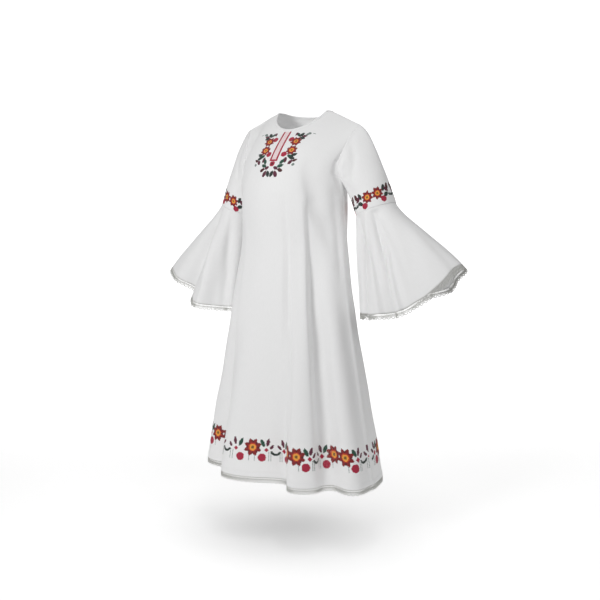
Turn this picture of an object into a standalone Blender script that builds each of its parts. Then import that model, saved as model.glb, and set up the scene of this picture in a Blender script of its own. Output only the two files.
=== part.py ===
# Long folk shirt of white woven cloth, filled out as if worn, with no wearer in it.
# Metres, +Z up. The front faces -Y and +X is the wearer's left.
# The origin is the middle of the neck, level with the neck ends of the shoulder seams.

import bpy
import bmesh
import numpy as np

# Walls and seams
CLOTH_WALL = 0.0016
LACE_WALL = 0.0013
BINDING_WALL = 0.0026
SEAM_GAP = 0.0003
LONGEST_MITRE = 2.4

# Heights of the body, measured down from the neck end of the shoulder seam
HEM_Z = -1.058
CHEST_Z = -0.245

# Girth of the body: half width, and depth in front of and behind its middle line. Each flare
# is a growth for each metre below its start, and each softness the height over which it begins.
# The front is an ellipse whose cosine has the power FRONT_POINT over the chest, and 1 lower down
CHEST_MIDDLE_Y = -0.050
HIP_MIDDLE_Y = -0.060
CHEST_ENDS = -0.36
HIP_STARTS = -0.57
CHEST_HALF_WIDTH = 0.170
WIDTH_FLARE = 0.170
WIDTH_START = -0.375
WIDTH_SOFTNESS = 0.04
FRONT_DEPTH = 0.1168
FRONT_FLARE = 0.072
FRONT_START = -0.551
FRONT_SOFTNESS = 0.06
FRONT_POINT = 1.2
BUST_FULLNESS = 0.012
BUST_HEIGHT = 0.09
BACK_DEPTH = 0.120
BACK_FLARE = 0.0986
BACK_START = -0.462
BACK_SOFTNESS = 0.08
BLADE_FULLNESS = 0.005
BLADE_HEIGHT = 0.10

# Neck, shoulders and armholes
NECK_HALF_WIDTH = 0.090
NECK_DROP_FRONT = 0.058
NECK_DROP_BACK = 0.015
NECK_ARCH = 1.3
SHOULDER_HALF_WIDTH = 0.194
SHOULDER_DROP = 0.043
SHOULDER_BEND = 0.080
SHOULDER_SOFTNESS = 0.018
YOKE_TOP_HALF_WIDTH = 0.225
UNDERARM_SHARE = 0.17
ARMHOLE_ROUNDNESS = 0.6
ARMHOLE_SWAY = 0.05
BINDING_WIDTH = 0.007

# How fully the yoke stands out before it closes at the shoulder: a power at the centre line
# and what is added to it at the side, in front and behind
FRONT_CLOSING = (1.95, -0.45)
BACK_CLOSING = (0.62, 0.5)
MIDDLE_CLOSING = 1.5

# X and Z of the way in which a sleeve leaves the armhole, at its top and under the arm, and how
# strongly it keeps to it, and to the cuff's axis, as shares of its length
LEAVES_TOP = (0.86, -0.51)
LEAVES_UNDER = (0.62, -0.78)
SLEEVE_PULL_START = 0.6
SLEEVE_PULL_END = 0.9

# The same for a flounce: how much it spreads as it leaves the cuff, and how much it drops at its rim
FLOUNCE_PULL_START = 0.5
FLOUNCE_SPREAD = 0.6
FLOUNCE_DROP = 0.2

# Points inside the armhole and the chest, from which walls face outwards
ARMHOLE_CENTRE = np.array([0.187, -0.03, -0.13])
CHEST_CENTRE = np.array([0.05, -0.03, -0.25])
NECK_CENTRE = np.array([0.0, -0.01, 0.05])

# Shares of a panel's half width that end at the neck, and at the shoulder's tip
NECK_SHARE = 0.34
TIP_SHARE = 0.62

# Lace edging
HEM_LACE_DEPTH = 0.017
CUFF_LACE_DEPTH = 0.018
LACE_PITCH = 0.0150
LACE_NOTCH = 0.60
LACE_HOLE_MIDDLE = 0.46
LACE_HOLE_HALF_WIDTH = 0.18
LACE_HOLE_HALF_HEIGHT = 0.19

# Mesh steps: across the neck, a shoulder and an armhole, then down the cloth
FRONT_NECK_STEPS = 12
BACK_NECK_STEPS = 10
SHOULDER_STEPS = 4
ARMHOLE_STEPS = 9
SKIRT_ROWS = 11
YOKE_ROWS = 7
SLEEVE_ROWS = 6
FLOUNCE_ROWS = 6
FLOUNCE_STEPS_PER_SLEEVE_STEP = 2

FOLD_COLUMNS = ("angle", "width", "push", "lean", "start", "full")
SEAM_STILLNESS = 6    # power with which the folds die out at the side seams

# Skirt folds: degrees from the panel's centre line towards the wearer's left, half width in
# degrees, push out in metres, sideways lean in degrees, and the heights where it begins and is full
FRONT_FOLDS = (
    (-66, 12, 0.016, 0, -0.60, -1.05),
    (-38, 12, -0.030, 0, -0.50, -1.05),
    (-17, 15, 0.026, -10, -0.45, -1.05),
    (11, 12, -0.046, 0, -0.50, -1.05),
    (28, 10, 0.022, -8, -0.45, -1.05),
    (46, 9, -0.028, 0, -0.35, -1.05),
    (68, 13, 0.014, 0, -0.50, -1.05),
)
BACK_FOLDS = (
    (-64, 12, 0.014, 0, -0.50, -1.05),
    (-46, 12, -0.024, 0, -0.55, -1.05),
    (-26, 12, 0.026, 5, -0.50, -1.05),
    (-3, 13, -0.032, 0, -0.46, -1.05),
    (20, 12, 0.024, -6, -0.45, -1.05),
    (42, 12, -0.026, 0, -0.42, -1.05),
    (63, 12, 0.014, 0, -0.50, -1.05),
)

ARM_COLUMNS = ("cuff_x", "cuff_z", "cuff_radius", "cuff_tilt", "rim_x", "rim_z",
               "rim_half", "rim_depth", "rim_rise", "drop", "drop_out", "drop_front")
LEFT_ARM = (0.249, -0.280, 0.058, 20.0, 0.366, -0.514, 0.156, 0.108, 0.079, 0.040, 0.033, 0.014)
RIGHT_ARM = (0.236, -0.284, 0.058, 19.0, 0.347, -0.537, 0.148, 0.110, 0.065, 0.036, 0.010, 0.012)

# Flounce folds: degrees round the arm from its outer side towards the front, half width in
# degrees and push out in metres at the rim
LEFT_FLOUNCE_FOLDS = (
    (150, 13, -0.014), (126, 11, 0.014), (103, 10, -0.020), (70, 10, -0.014),
    (40, 16, 0.006), (18, 10, -0.005), (-40, 13, -0.012), (-70, 14, 0.014),
    (-100, 13, -0.014), (-130, 14, 0.014), (-165, 12, -0.008),
)
RIGHT_FLOUNCE_FOLDS = (
    (28, 12, 0.010), (66, 13, -0.052), (96, 13, 0.012), (120, 12, -0.010),
    (142, 12, 0.008), (165, 12, -0.010), (-40, 13, -0.012), (-70, 14, 0.014),
    (-100, 13, -0.014), (-130, 14, 0.014), (-165, 12, -0.008),
)

WHITE_CLOTH = (0.86, 0.86, 0.87, 1.0)
WHITE_LACE = (0.80, 0.80, 0.81, 1.0)
WHITE_BINDING = (0.88, 0.88, 0.88, 1.0)
CLOTH_ROUGHNESS = 0.85
LACE_ROUGHNESS = 0.9
BINDING_ROUGHNESS = 0.8


def unit(vectors):
    return vectors / np.linalg.norm(vectors, axis=-1, keepdims=True)


def ramp(x, softness):
    # zero below 0 and x above it, with a soft corner
    return (x + np.sqrt(x * x + softness * softness)) / 2


def bell(x, width):
    return np.exp(-(x / width) ** 2)


def ease(start, end, x):
    t = np.clip((x - start) / (end - start), 0.0, 1.0)
    return t * t * (3 - 2 * t)


def stack(x, y, z):
    return np.stack(np.broadcast_arrays(x, y, z), axis=-1)


def hermite(start, start_pull, end, end_pull, t):
    # cubic curve between two points that leaves and arrives along the two pulls
    return ((2 * t**3 - 3 * t**2 + 1) * start + (t**3 - 2 * t**2 + t) * start_pull
            + (3 * t**2 - 2 * t**3) * end + (t**3 - t**2) * end_pull)


def middle_y(z):
    return CHEST_MIDDLE_Y + (HIP_MIDDLE_Y - CHEST_MIDDLE_Y) * ease(CHEST_ENDS, HIP_STARTS, z)


def bow(side, angle, z):
    # share of the depth by which a panel stands out at an angle from its centre line
    point = FRONT_POINT + (1 - FRONT_POINT) * ease(CHEST_ENDS, HIP_STARTS, z) if side < 0 else 1.0
    return np.maximum(np.cos(angle), 0) ** point


def half_width(z):
    return CHEST_HALF_WIDTH + WIDTH_FLARE * ramp(WIDTH_START - z, WIDTH_SOFTNESS)


def panel_depth(side, z):
    if side < 0:
        return (FRONT_DEPTH + FRONT_FLARE * ramp(FRONT_START - z, FRONT_SOFTNESS)
                + BUST_FULLNESS * bell(z - CHEST_Z, BUST_HEIGHT))
    return (BACK_DEPTH + BACK_FLARE * ramp(BACK_START - z, BACK_SOFTNESS)
            + BLADE_FULLNESS * bell(z - CHEST_Z, BLADE_HEIGHT))


def skirt(side, across, z):
    # half an ellipse at each height, with each fold a bell that pushes it out or in and leans
    # it; side is -1 in front and 1 behind, across runs -1 to 1 between the side seams
    degrees = 90 * across
    push = np.zeros_like(degrees)
    lean = np.zeros_like(degrees)
    for row in FRONT_FOLDS if side < 0 else BACK_FOLDS:
        fold = dict(zip(FOLD_COLUMNS, row))
        part = bell(degrees - fold["angle"], fold["width"]) * ease(fold["start"], fold["full"], z)
        push = push + fold["push"] * part
        lean = lean + fold["lean"] * part
    free = 1 - np.abs(across) ** SEAM_STILLNESS
    angle = np.radians(degrees + lean * free)
    width = half_width(z)
    depth = panel_depth(side, z)
    outward = unit(stack(np.sin(angle) / width, np.cos(angle) / depth, 0.0))
    x = width * np.sin(angle) + push * free * outward[..., 0]
    y = depth * bow(side, angle, z) + push * free * outward[..., 1] + SEAM_GAP / 2
    return stack(x, middle_y(z) + side * y, z)


def shoulder_z(x):
    # height of the shoulder line: 0 at the neck, SHOULDER_DROP lower at the tip, level inside
    slope = ramp(np.abs(x) - SHOULDER_BEND, SHOULDER_SOFTNESS)
    at_neck = ramp(NECK_HALF_WIDTH - SHOULDER_BEND, SHOULDER_SOFTNESS)
    at_tip = ramp(SHOULDER_HALF_WIDTH - SHOULDER_BEND, SHOULDER_SOFTNESS)
    return -SHOULDER_DROP * (slope - at_neck) / (at_tip - at_neck)


def yoke_half_width(rise):
    # wider than the shoulders at the top, so that the cloth is still round where they end
    return CHEST_HALF_WIDTH + (YOKE_TOP_HALF_WIDTH - CHEST_HALF_WIDTH) * rise**2


def across_at(x, rise):
    return np.arcsin(np.clip(x / yoke_half_width(rise), 0, 1)) / np.radians(90)


def yoke(side, across, rise):
    # the body over the chest: half ellipses that flatten to the shoulder line, where rise is 1
    angle = np.radians(90) * across
    x = yoke_half_width(rise) * np.sin(angle)
    z = CHEST_Z + (shoulder_z(x) - CHEST_Z) * rise
    at_centre, at_side = FRONT_CLOSING if side < 0 else BACK_CLOSING
    left_open = np.clip(1 - rise**2, 0, 1)
    closing = np.sqrt(left_open) ** (at_centre + at_side * np.sin(angle) ** 2)
    depth = panel_depth(side, CHEST_Z) * bow(side, angle, CHEST_Z) * closing
    middle = CHEST_MIDDLE_Y * left_open ** MIDDLE_CLOSING
    return stack(x, middle + side * (depth + SEAM_GAP / 2), z)


def armhole_place(share):
    # where the armhole cuts the yoke, from the shoulder's tip (0) to the underarm (1)
    tip = across_at(SHOULDER_HALF_WIDTH, 1.0)
    across = 1 - (1 - tip) * np.clip(np.cos(np.pi / 2 * share), 0, 1) ** ARMHOLE_ROUNDNESS
    rise = 1 - (1 - UNDERARM_SHARE) * (share - ARMHOLE_SWAY * np.sin(2 * np.pi * share))
    return across, rise


def armhole(turn):
    # the left armhole's edge; turn 0 is the shoulder's tip, 90 degrees is its front
    turn = np.mod(turn, 2 * np.pi)
    share = np.where(turn <= np.pi, turn / np.pi, 2 - turn / np.pi)
    across, rise = armhole_place(share)
    in_front = (turn <= np.pi)[..., None]
    return np.where(in_front, yoke(-1, across, rise), yoke(1, across, rise))


def top_place(side, across):
    # where the panel's upper edge lies on the yoke: neck, shoulder, then armhole; the neck is
    # an arch, a little squarer than a circle
    share = np.abs(across)
    round_neck = np.clip(share / NECK_SHARE, 0, 1) * np.pi / 2
    along_shoulder = np.clip((share - NECK_SHARE) / (TIP_SHARE - NECK_SHARE), 0, 1)
    down_armhole = np.clip((share - TIP_SHARE) / (1 - TIP_SHARE), 0, 1)
    drop = NECK_DROP_FRONT if side < 0 else NECK_DROP_BACK
    neck_x = NECK_HALF_WIDTH * np.sin(round_neck)
    neck_z = -drop * np.cos(round_neck) ** NECK_ARCH
    neck_rise = (neck_z - CHEST_Z) / (shoulder_z(neck_x) - CHEST_Z)
    seam_x = NECK_HALF_WIDTH + (SHOULDER_HALF_WIDTH - NECK_HALF_WIDTH) * along_shoulder
    x = np.where(share <= NECK_SHARE, neck_x, seam_x)
    rise = np.where(share <= NECK_SHARE, np.clip(neck_rise, 0, 1), 1.0)
    top_across = across_at(x, rise)
    arm_across, arm_rise = armhole_place(down_armhole)
    top_across = np.where(share <= TIP_SHARE, top_across, arm_across)
    rise = np.where(share <= TIP_SHARE, rise, arm_rise)
    return top_across * np.sign(across), rise


def panel(side, across, up):
    # up is 0 at the hem, 1 at the chest and 2 at the neck, shoulder and armhole edge; the yoke's
    # steps shorten upwards, where it rounds over the shoulder
    across, up = np.broadcast_arrays(across, up)
    below = skirt(side, across, HEM_Z + (CHEST_Z - HEM_Z) * np.clip(up, 0, 1))
    top_across, top_rise = top_place(side, across)
    t = np.sin(np.pi / 2 * np.clip(up - 1, 0, 1))
    above = yoke(side, across + (top_across - across) * t, top_rise * t)
    return np.where((up <= 1)[..., None], below, above)


def cuff_ring(arm, turn):
    # round seam between sleeve and flounce; turn 0 is its outer side, 90 degrees its front
    tilt = np.radians(arm["cuff_tilt"])
    outward = stack(np.cos(turn) * np.cos(tilt), -np.sin(turn), np.cos(turn) * np.sin(tilt))
    centre = np.array([arm["cuff_x"], 0.0, arm["cuff_z"]])
    return centre + arm["cuff_radius"] * outward


def cuff_axis(arm):
    tilt = np.radians(arm["cuff_tilt"])
    return np.array([np.sin(tilt), 0.0, -np.cos(tilt)])


def sleeve_start(turn):
    # direction in which the sleeve leaves the armhole: steep over the shoulder, flatter under it
    top = (1 + np.cos(turn)) / 2
    return unit(stack(LEAVES_TOP[0] * top + LEAVES_UNDER[0] * (1 - top), 0.0,
                      LEAVES_TOP[1] * top + LEAVES_UNDER[1] * (1 - top)))


def sleeve(arm, turn, along):
    # curves from the armhole's edge to the cuff seam, leaving along both ends' directions
    start = armhole(turn)
    end = cuff_ring(arm, turn)
    reach = np.linalg.norm(end - start, axis=-1, keepdims=True)
    return hermite(start, SLEEVE_PULL_START * reach * sleeve_start(turn),
                   end, SLEEVE_PULL_END * reach * cuff_axis(arm), along[..., None])


def flounce_rim(arm, folds, turn):
    # an oval whose height rises outwards and hangs lower in front and behind, with folds
    degrees = np.degrees(turn)
    push = np.zeros_like(degrees)
    for angle, width, depth in folds:
        push = push + depth * bell((degrees - angle + 180) % 360 - 180, width)
    c = np.cos(turn)
    s = np.sin(turn)
    hang = (arm["drop"] + arm["drop_out"] * c + arm["drop_front"] * s) * s**2
    return stack(arm["rim_x"] + (arm["rim_half"] + push) * c, -(arm["rim_depth"] + push) * s,
                 arm["rim_z"] + arm["rim_rise"] * c - hang)


def flounce(arm, folds, turn, along):
    # curves from the cuff seam to the lace's edge, where along is 1
    start = cuff_ring(arm, turn)
    end = flounce_rim(arm, folds, turn)
    reach = np.linalg.norm(end - start, axis=-1, keepdims=True)
    start_pull = FLOUNCE_PULL_START * reach * unit(cuff_axis(arm) + FLOUNCE_SPREAD * unit(end - start))
    end_pull = reach * unit(unit(end - start) + np.array([0.0, 0.0, -FLOUNCE_DROP]))
    return hermite(start, start_pull, end, end_pull, along[..., None])


def normals(points, closed):
    # unit normals of a grid of points, rows upwards or outwards and columns round
    if closed:
        across = np.roll(points, -1, axis=1) - np.roll(points, 1, axis=1)
    else:
        across = np.gradient(points, axis=1)
    return unit(np.cross(across, np.gradient(points, axis=0)))


def mitre(first, second):
    # wall direction shared by two sheets that meet at an angle, long enough for both walls
    overlap = np.sum(first * second, axis=-1, keepdims=True)
    return (first + second) / np.maximum(1 + overlap, 1 / LONGEST_MITRE)


def facing(vectors, guide):
    # the same vectors, turned to the guide's side
    return vectors * np.sign(np.sum(vectors * guide, axis=-1, keepdims=True))


def armhole_wall(turn):
    # wall directions along the armhole, shared by the front, the back and the sleeve
    step = 0.02
    edge = armhole(turn)
    tangent = unit(armhole(turn + step) - armhole(turn - step))
    outward = edge - ARMHOLE_CENTRE
    sleeve_normal = facing(unit(np.cross(tangent, sleeve_start(turn))), outward)
    share = np.where(turn <= np.pi, turn / np.pi, 2 - turn / np.pi)
    across, rise = armhole_place(share)
    rise = np.minimum(rise, 0.97)
    front = (turn <= np.pi)[..., None]
    near = np.where(front, yoke(-1, across, rise), yoke(1, across, rise))
    beside = np.where(front, yoke(-1, across - step, rise), yoke(1, across - step, rise))
    below = np.where(front, yoke(-1, across, rise - step), yoke(1, across, rise - step))
    body_normal = unit(np.cross(near - beside, near - below))
    body_normal = facing(body_normal, near - CHEST_CENTRE)
    wall = mitre(body_normal, sleeve_normal)
    # where the two panels meet, the wall stays in the plane between them
    between_panels = np.abs(np.sin(turn)) < 0.01
    wall[..., 1] = np.where(between_panels, 0.0, wall[..., 1])
    return wall


def thick_body(points, spread, faces):
    # closed wall round a sheet of faces: both sides of each point, and a rim along free edges
    count = len(points)
    outer = points + spread / 2
    inner = points - spread / 2
    sides = [tuple(face) for face in faces]
    backs = [tuple(index + count for index in reversed(face)) for face in faces]
    used = {(face[i - 1], face[i]) for face in sides for i in range(len(face))}
    rim = [(b, a, a + count, b + count) for a, b in used if (b, a) not in used]
    return np.concatenate([outer, inner]), sides + backs + sorted(rim)


def grid_faces(rows, columns, closed):
    faces = []
    for r in range(rows - 1):
        for c in range(columns if closed else columns - 1):
            right = (c + 1) % columns
            faces.append((r * columns + c, r * columns + right,
                          (r + 1) * columns + right, (r + 1) * columns + c))
    return faces


def cloth_material(name, color, roughness):
    material = bpy.data.materials.new(name)
    material.use_nodes = True
    shader = material.node_tree.nodes["Principled BSDF"]
    shader.inputs["Base Color"].default_value = color
    shader.inputs["Roughness"].default_value = roughness
    shader.inputs["Metallic"].default_value = 0.0
    material.diffuse_color = color
    return material


def add_body(collection, name, vertices, faces, color, roughness):
    mesh = bpy.data.meshes.new(name)
    mesh.from_pydata(vertices.tolist(), [], faces)
    shell = bmesh.new()
    shell.from_mesh(mesh)
    bmesh.ops.recalc_face_normals(shell, faces=shell.faces)
    shell.to_mesh(mesh)
    shell.free()
    mesh.set_sharp_from_angle(angle=np.radians(50))
    mesh.materials.append(cloth_material(name, color, roughness))
    piece = bpy.data.objects.new(name, mesh)
    collection.objects.link(piece)
    return piece


def add_sheet(collection, name, points, spread, closed):
    rows, columns = points.shape[:2]
    vertices, faces = thick_body(points.reshape(-1, 3), spread.reshape(-1, 3),
                                 grid_faces(rows, columns, closed))
    return add_body(collection, name, vertices, faces, WHITE_CLOTH, CLOTH_ROUGHNESS)


def panel_columns(side):
    # places across a panel, so that neck, shoulder and armhole ends fall on a column
    neck_steps = FRONT_NECK_STEPS if side < 0 else BACK_NECK_STEPS
    neck = np.linspace(0, NECK_SHARE, neck_steps // 2 + 1)
    seam = np.linspace(NECK_SHARE, TIP_SHARE, SHOULDER_STEPS + 1)[1:]
    arm = np.linspace(TIP_SHARE, 1, ARMHOLE_STEPS + 1)[1:]
    half = np.concatenate([neck, seam, arm])
    return np.concatenate([-half[:0:-1], half])


def panel_grid(side):
    columns = panel_columns(side)
    rows = np.concatenate([np.linspace(0, 1, SKIRT_ROWS + 1), np.linspace(1, 2, YOKE_ROWS + 1)[1:]])
    points = panel(side, columns[None, :], rows[:, None])
    grid_normals = normals(points, closed=False)
    spread = grid_normals * CLOTH_WALL
    sideways = np.array([0.0, 1.0, 0.0])
    for column in (0, -1):
        seam = np.gradient(points[:, column], axis=0)
        spread[:, column] = CLOTH_WALL * facing(unit(np.cross(seam, sideways)), grid_normals[:, column])
    shoulder = (np.abs(columns) > NECK_SHARE - 0.001) & (np.abs(columns) < TIP_SHARE)
    seam_x = points[-1, shoulder, 0]
    slope = (shoulder_z(seam_x + 0.001) - shoulder_z(seam_x - 0.001)) / 0.002
    ridge = unit(stack(-slope, 0.0, 1.0))
    spread[-1, shoulder] = CLOTH_WALL * facing(ridge, grid_normals[-1, shoulder])
    at_arm = np.abs(columns) > TIP_SHARE - 0.001
    share = (np.abs(columns[at_arm]) - TIP_SHARE) / (1 - TIP_SHARE)
    turn = np.pi * share if side < 0 else 2 * np.pi - np.pi * share
    wall = armhole_wall(turn) * CLOTH_WALL
    wall[:, 0] = wall[:, 0] * np.sign(columns[at_arm])
    inward = np.sum(grid_normals[0, len(columns) // 2] * np.array([0.0, side, 0.0])) < 0
    spread[-1, at_arm] = -wall if inward else wall
    return columns, points, spread


def add_panel(collection, name, side):
    columns, points, spread = panel_grid(side)
    add_sheet(collection, name, points, spread, closed=False)
    return columns, points, spread


def add_binding(collection, front, back):
    # narrow band that goes on inwards from the neck edges of the two panels
    loop = []
    walls = []
    for columns, points, spread in (front, back):
        at_neck = np.abs(columns) < NECK_SHARE + 0.001
        edge = points[-1, at_neck]
        wall = facing(unit(spread[-1, at_neck]), np.array([0.0, 0.0, 1.0]))
        if len(loop) == 0:
            loop.extend(edge)
            walls.extend(wall)
        else:
            loop.extend(edge[-2:0:-1])
            walls.extend(wall[-2:0:-1])
    loop = np.array(loop)
    walls = np.array(walls)
    corners = np.abs(np.abs(loop[:, 0]) - NECK_HALF_WIDTH) < 0.0005
    loop[corners, 1] = 0.0
    tangent = unit(np.roll(loop, -1, axis=0) - np.roll(loop, 1, axis=0))
    inward = facing(unit(np.cross(tangent, walls)), NECK_CENTRE - loop)
    reaches = (2 * SEAM_GAP, SEAM_GAP + BINDING_WIDTH / 2, SEAM_GAP + BINDING_WIDTH)
    points = np.stack([loop + reach * inward for reach in reaches])
    points = points + walls * (BINDING_WALL - CLOTH_WALL)
    spread = np.stack([walls, walls, walls]) * BINDING_WALL
    rows, columns = points.shape[:2]
    vertices, faces = thick_body(points.reshape(-1, 3), spread.reshape(-1, 3),
                                 grid_faces(rows, columns, closed=True))
    return add_body(collection, "neck_binding", vertices, faces, WHITE_BINDING, BINDING_ROUGHNESS)


def arm_turns(steps_each_side):
    return np.arange(2 * steps_each_side) * np.pi / steps_each_side


def mirrored(points, sign):
    return points * np.array([sign, 1.0, 1.0])


def add_sleeve(collection, name, arm, sign):
    turn = arm_turns(ARMHOLE_STEPS)
    along = np.linspace(0, 1, SLEEVE_ROWS + 1)[:, None]
    points = sleeve(arm, turn[None, :], along + 0 * turn[None, :])
    wall = armhole_wall(turn)
    tangent = np.roll(points[0], -1, axis=0) - np.roll(points[0], 1, axis=0)
    apart = facing(unit(np.cross(tangent, wall)), sleeve_start(turn))
    points[0] = points[0] + 2 * SEAM_GAP * apart
    outward = facing(normals(points, closed=True), points - points.mean(axis=1, keepdims=True))
    spread = outward * CLOTH_WALL
    spread[0] = wall * CLOTH_WALL
    centre = np.array([arm["cuff_x"], 0.0, arm["cuff_z"]])
    spread[-1] = unit(points[-1] - centre) * CLOTH_WALL
    return add_sheet(collection, name, mirrored(points, sign), mirrored(spread, sign), closed=True)


def between_vertices(ring, parts):
    # puts parts - 1 points on each side of a closed ring of points
    following = np.roll(ring, -1, axis=0)
    return np.stack([ring + (following - ring) * k / parts for k in range(parts)], axis=1).reshape(-1, 3)


def add_flounce(collection, name, arm, folds, sign):
    # the cloth stops short of the rim by the lace's depth; returns its edge for the lace
    steps = ARMHOLE_STEPS * FLOUNCE_STEPS_PER_SLEEVE_STEP
    turn = arm_turns(steps)
    length = np.linalg.norm(flounce_rim(arm, folds, turn) - cuff_ring(arm, turn), axis=-1)
    share = 1 - CUFF_LACE_DEPTH / length
    along = np.linspace(0, 1, FLOUNCE_ROWS + 1)[:, None] * share[None, :]
    points = flounce(arm, folds, turn[None, :] + 0 * along, along)
    seam = between_vertices(cuff_ring(arm, arm_turns(ARMHOLE_STEPS)), FLOUNCE_STEPS_PER_SLEEVE_STEP)
    points[0] = seam + SEAM_GAP * cuff_axis(arm)
    outward = facing(normals(points, closed=True), points - points.mean(axis=1, keepdims=True))
    spread = outward * CLOTH_WALL
    centre = np.array([arm["cuff_x"], 0.0, arm["cuff_z"]])
    spread[0] = unit(seam - centre) * CLOTH_WALL
    add_sheet(collection, name, mirrored(points, sign), mirrored(spread, sign), closed=True)
    fall = unit(points[-1] - points[-2])
    return (mirrored(points[-1], sign), mirrored(fall, sign), mirrored(unit(spread[-1]), sign))


def read_along(values, places):
    # values at given places along a path, counted in its points
    steps = np.arange(len(values))
    return np.stack([np.interp(places, steps, values[:, k]) for k in range(3)], axis=-1)


def add_lace(collection, name, edge, fall, wall, depth):
    # a strip of scallops, one cell to a scallop, each with a four-cornered hole cut through;
    # the cells end on the points of the cloth's edge
    steps = np.linalg.norm(np.diff(edge, axis=0), axis=1)
    counts = np.maximum(1, np.round(steps / LACE_PITCH)).astype(int)
    ends = np.concatenate([k + np.arange(count) / count for k, count in enumerate(counts)])
    ends = np.append(ends, len(steps))
    ends[0] = SEAM_GAP / steps[0]
    ends[-1] = len(steps) - SEAM_GAP / steps[-1]
    cells = len(ends) - 1
    half = LACE_HOLE_HALF_WIDTH * np.diff(ends)
    tall = LACE_HOLE_HALF_HEIGHT
    middle = LACE_HOLE_MIDDLE
    inside = (ends[1:] + ends[:-1]) / 2
    along = np.concatenate([ends, ends, inside, inside - half, inside, inside + half, inside])
    down = np.concatenate([
        np.zeros(cells + 1), np.full(cells + 1, LACE_NOTCH), np.ones(cells),
        np.full(cells, middle), np.full(cells, middle + tall), np.full(cells, middle),
        np.full(cells, middle - tall)])
    points = read_along(edge, along)
    points = points + (SEAM_GAP + depth * down)[:, None] * unit(read_along(fall, along))
    spread = unit(read_along(wall, along)) * LACE_WALL
    faces = []
    for k in range(cells):
        upper, lower = k, cells + 1 + k
        tip = 2 * (cells + 1) + k
        left, bottom, right, top = (tip + cells * n for n in (1, 2, 3, 4))
        faces.append((upper, left, top))
        faces.append((upper, top, upper + 1))
        faces.append((upper + 1, top, right))
        faces.append((upper + 1, right, lower + 1))
        faces.append((lower + 1, right, bottom))
        faces.append((lower + 1, bottom, tip))
        faces.append((tip, bottom, lower))
        faces.append((lower, bottom, left))
        faces.append((lower, left, upper))
    vertices, faces = thick_body(points, spread, faces)
    return add_body(collection, name, vertices, faces, WHITE_LACE, LACE_ROUGHNESS)


def add_cuff_lace(collection, name, rim):
    # two half rings, split at the inner and outer sides of the cuff
    edge, fall, wall = rim
    half = len(edge) // 2
    for ending, first in (("front", 0), ("back", half)):
        index = np.arange(first, first + half + 1) % len(edge)
        add_lace(collection, name + "_" + ending, edge[index], fall[index], wall[index], CUFF_LACE_DEPTH)


def add_hem_lace(collection, name, grid):
    columns, points, spread = grid
    straight_down = np.tile([0.0, 0.0, -1.0], (len(columns), 1))
    add_lace(collection, name, points[0], straight_down, unit(spread[0]), HEM_LACE_DEPTH)


def main():
    for old in list(bpy.data.objects):
        bpy.data.objects.remove(old)
    collection = bpy.data.collections.new("long_folk_shirt")
    bpy.context.scene.collection.children.link(collection)
    left_arm = dict(zip(ARM_COLUMNS, LEFT_ARM))
    right_arm = dict(zip(ARM_COLUMNS, RIGHT_ARM))
    front = add_panel(collection, "front", -1)
    back = add_panel(collection, "back", 1)
    add_binding(collection, front, back)
    add_sleeve(collection, "sleeve_left", left_arm, 1)
    add_sleeve(collection, "sleeve_right", right_arm, -1)
    left_rim = add_flounce(collection, "flounce_left", left_arm, LEFT_FLOUNCE_FOLDS, 1)
    right_rim = add_flounce(collection, "flounce_right", right_arm, RIGHT_FLOUNCE_FOLDS, -1)
    add_hem_lace(collection, "lace_hem_front", front)
    add_hem_lace(collection, "lace_hem_back", back)
    add_cuff_lace(collection, "lace_cuff_left", left_rim)
    add_cuff_lace(collection, "lace_cuff_right", right_rim)


main()
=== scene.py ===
# Long folk shirt of white woven cloth with cross-stitched flowers and lace, filled out as if worn.
# Metres, +Z up, front towards -Y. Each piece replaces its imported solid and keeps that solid's form.

import bpy
import numpy as np
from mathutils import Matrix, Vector


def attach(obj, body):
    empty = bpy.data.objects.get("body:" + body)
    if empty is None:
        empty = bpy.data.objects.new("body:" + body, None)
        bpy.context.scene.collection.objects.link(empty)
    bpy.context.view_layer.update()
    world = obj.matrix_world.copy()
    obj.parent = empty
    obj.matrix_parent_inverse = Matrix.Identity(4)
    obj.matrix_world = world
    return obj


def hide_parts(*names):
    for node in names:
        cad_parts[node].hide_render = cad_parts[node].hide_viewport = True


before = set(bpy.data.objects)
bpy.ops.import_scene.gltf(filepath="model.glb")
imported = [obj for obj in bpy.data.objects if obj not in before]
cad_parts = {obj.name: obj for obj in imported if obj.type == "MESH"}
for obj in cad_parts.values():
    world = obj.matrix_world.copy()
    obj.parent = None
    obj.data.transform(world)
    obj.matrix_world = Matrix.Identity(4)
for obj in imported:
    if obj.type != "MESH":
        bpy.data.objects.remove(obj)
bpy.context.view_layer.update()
print("packed solids loaded")


# Camera: in front of the shirt and to the wearer's left, a little above its middle
camera = {
    "azimuth": 34,          # degrees round from the front towards the left sleeve
    "distance": 2.5,        # metres, level
    "height": -0.22,
    "aimZ": -0.563,
    "lens": 50, "sensor": 36,
    "right": 2.75,          # how far the picture is moved, in pixels of its side
    "down": 2.46,
    "pixels": 600,
}


def placeCamera():
    angle = np.radians(camera["azimuth"])
    level = camera["distance"]
    place = Vector((level * np.sin(angle), -level * np.cos(angle), camera["height"]))
    lens = bpy.data.cameras.new("camera")
    lens.lens = camera["lens"]
    lens.sensor_width = camera["sensor"]
    lens.shift_x = -camera["right"] / camera["pixels"]
    lens.shift_y = camera["down"] / camera["pixels"]
    lens.clip_end = 60
    cameraObject = bpy.data.objects.new("camera", lens)
    cameraObject.location = place
    cameraObject.rotation_euler = (Vector((0, 0, camera["aimZ"])) - place).to_track_quat("-Z", "Y").to_euler()
    bpy.context.scene.collection.objects.link(cameraObject)
    bpy.context.scene.camera = cameraObject


placeCamera()


# Small sums that the shapes use

def unit(v):
    return v / np.maximum(np.linalg.norm(v, axis=-1, keepdims=True), 1e-12)


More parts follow.
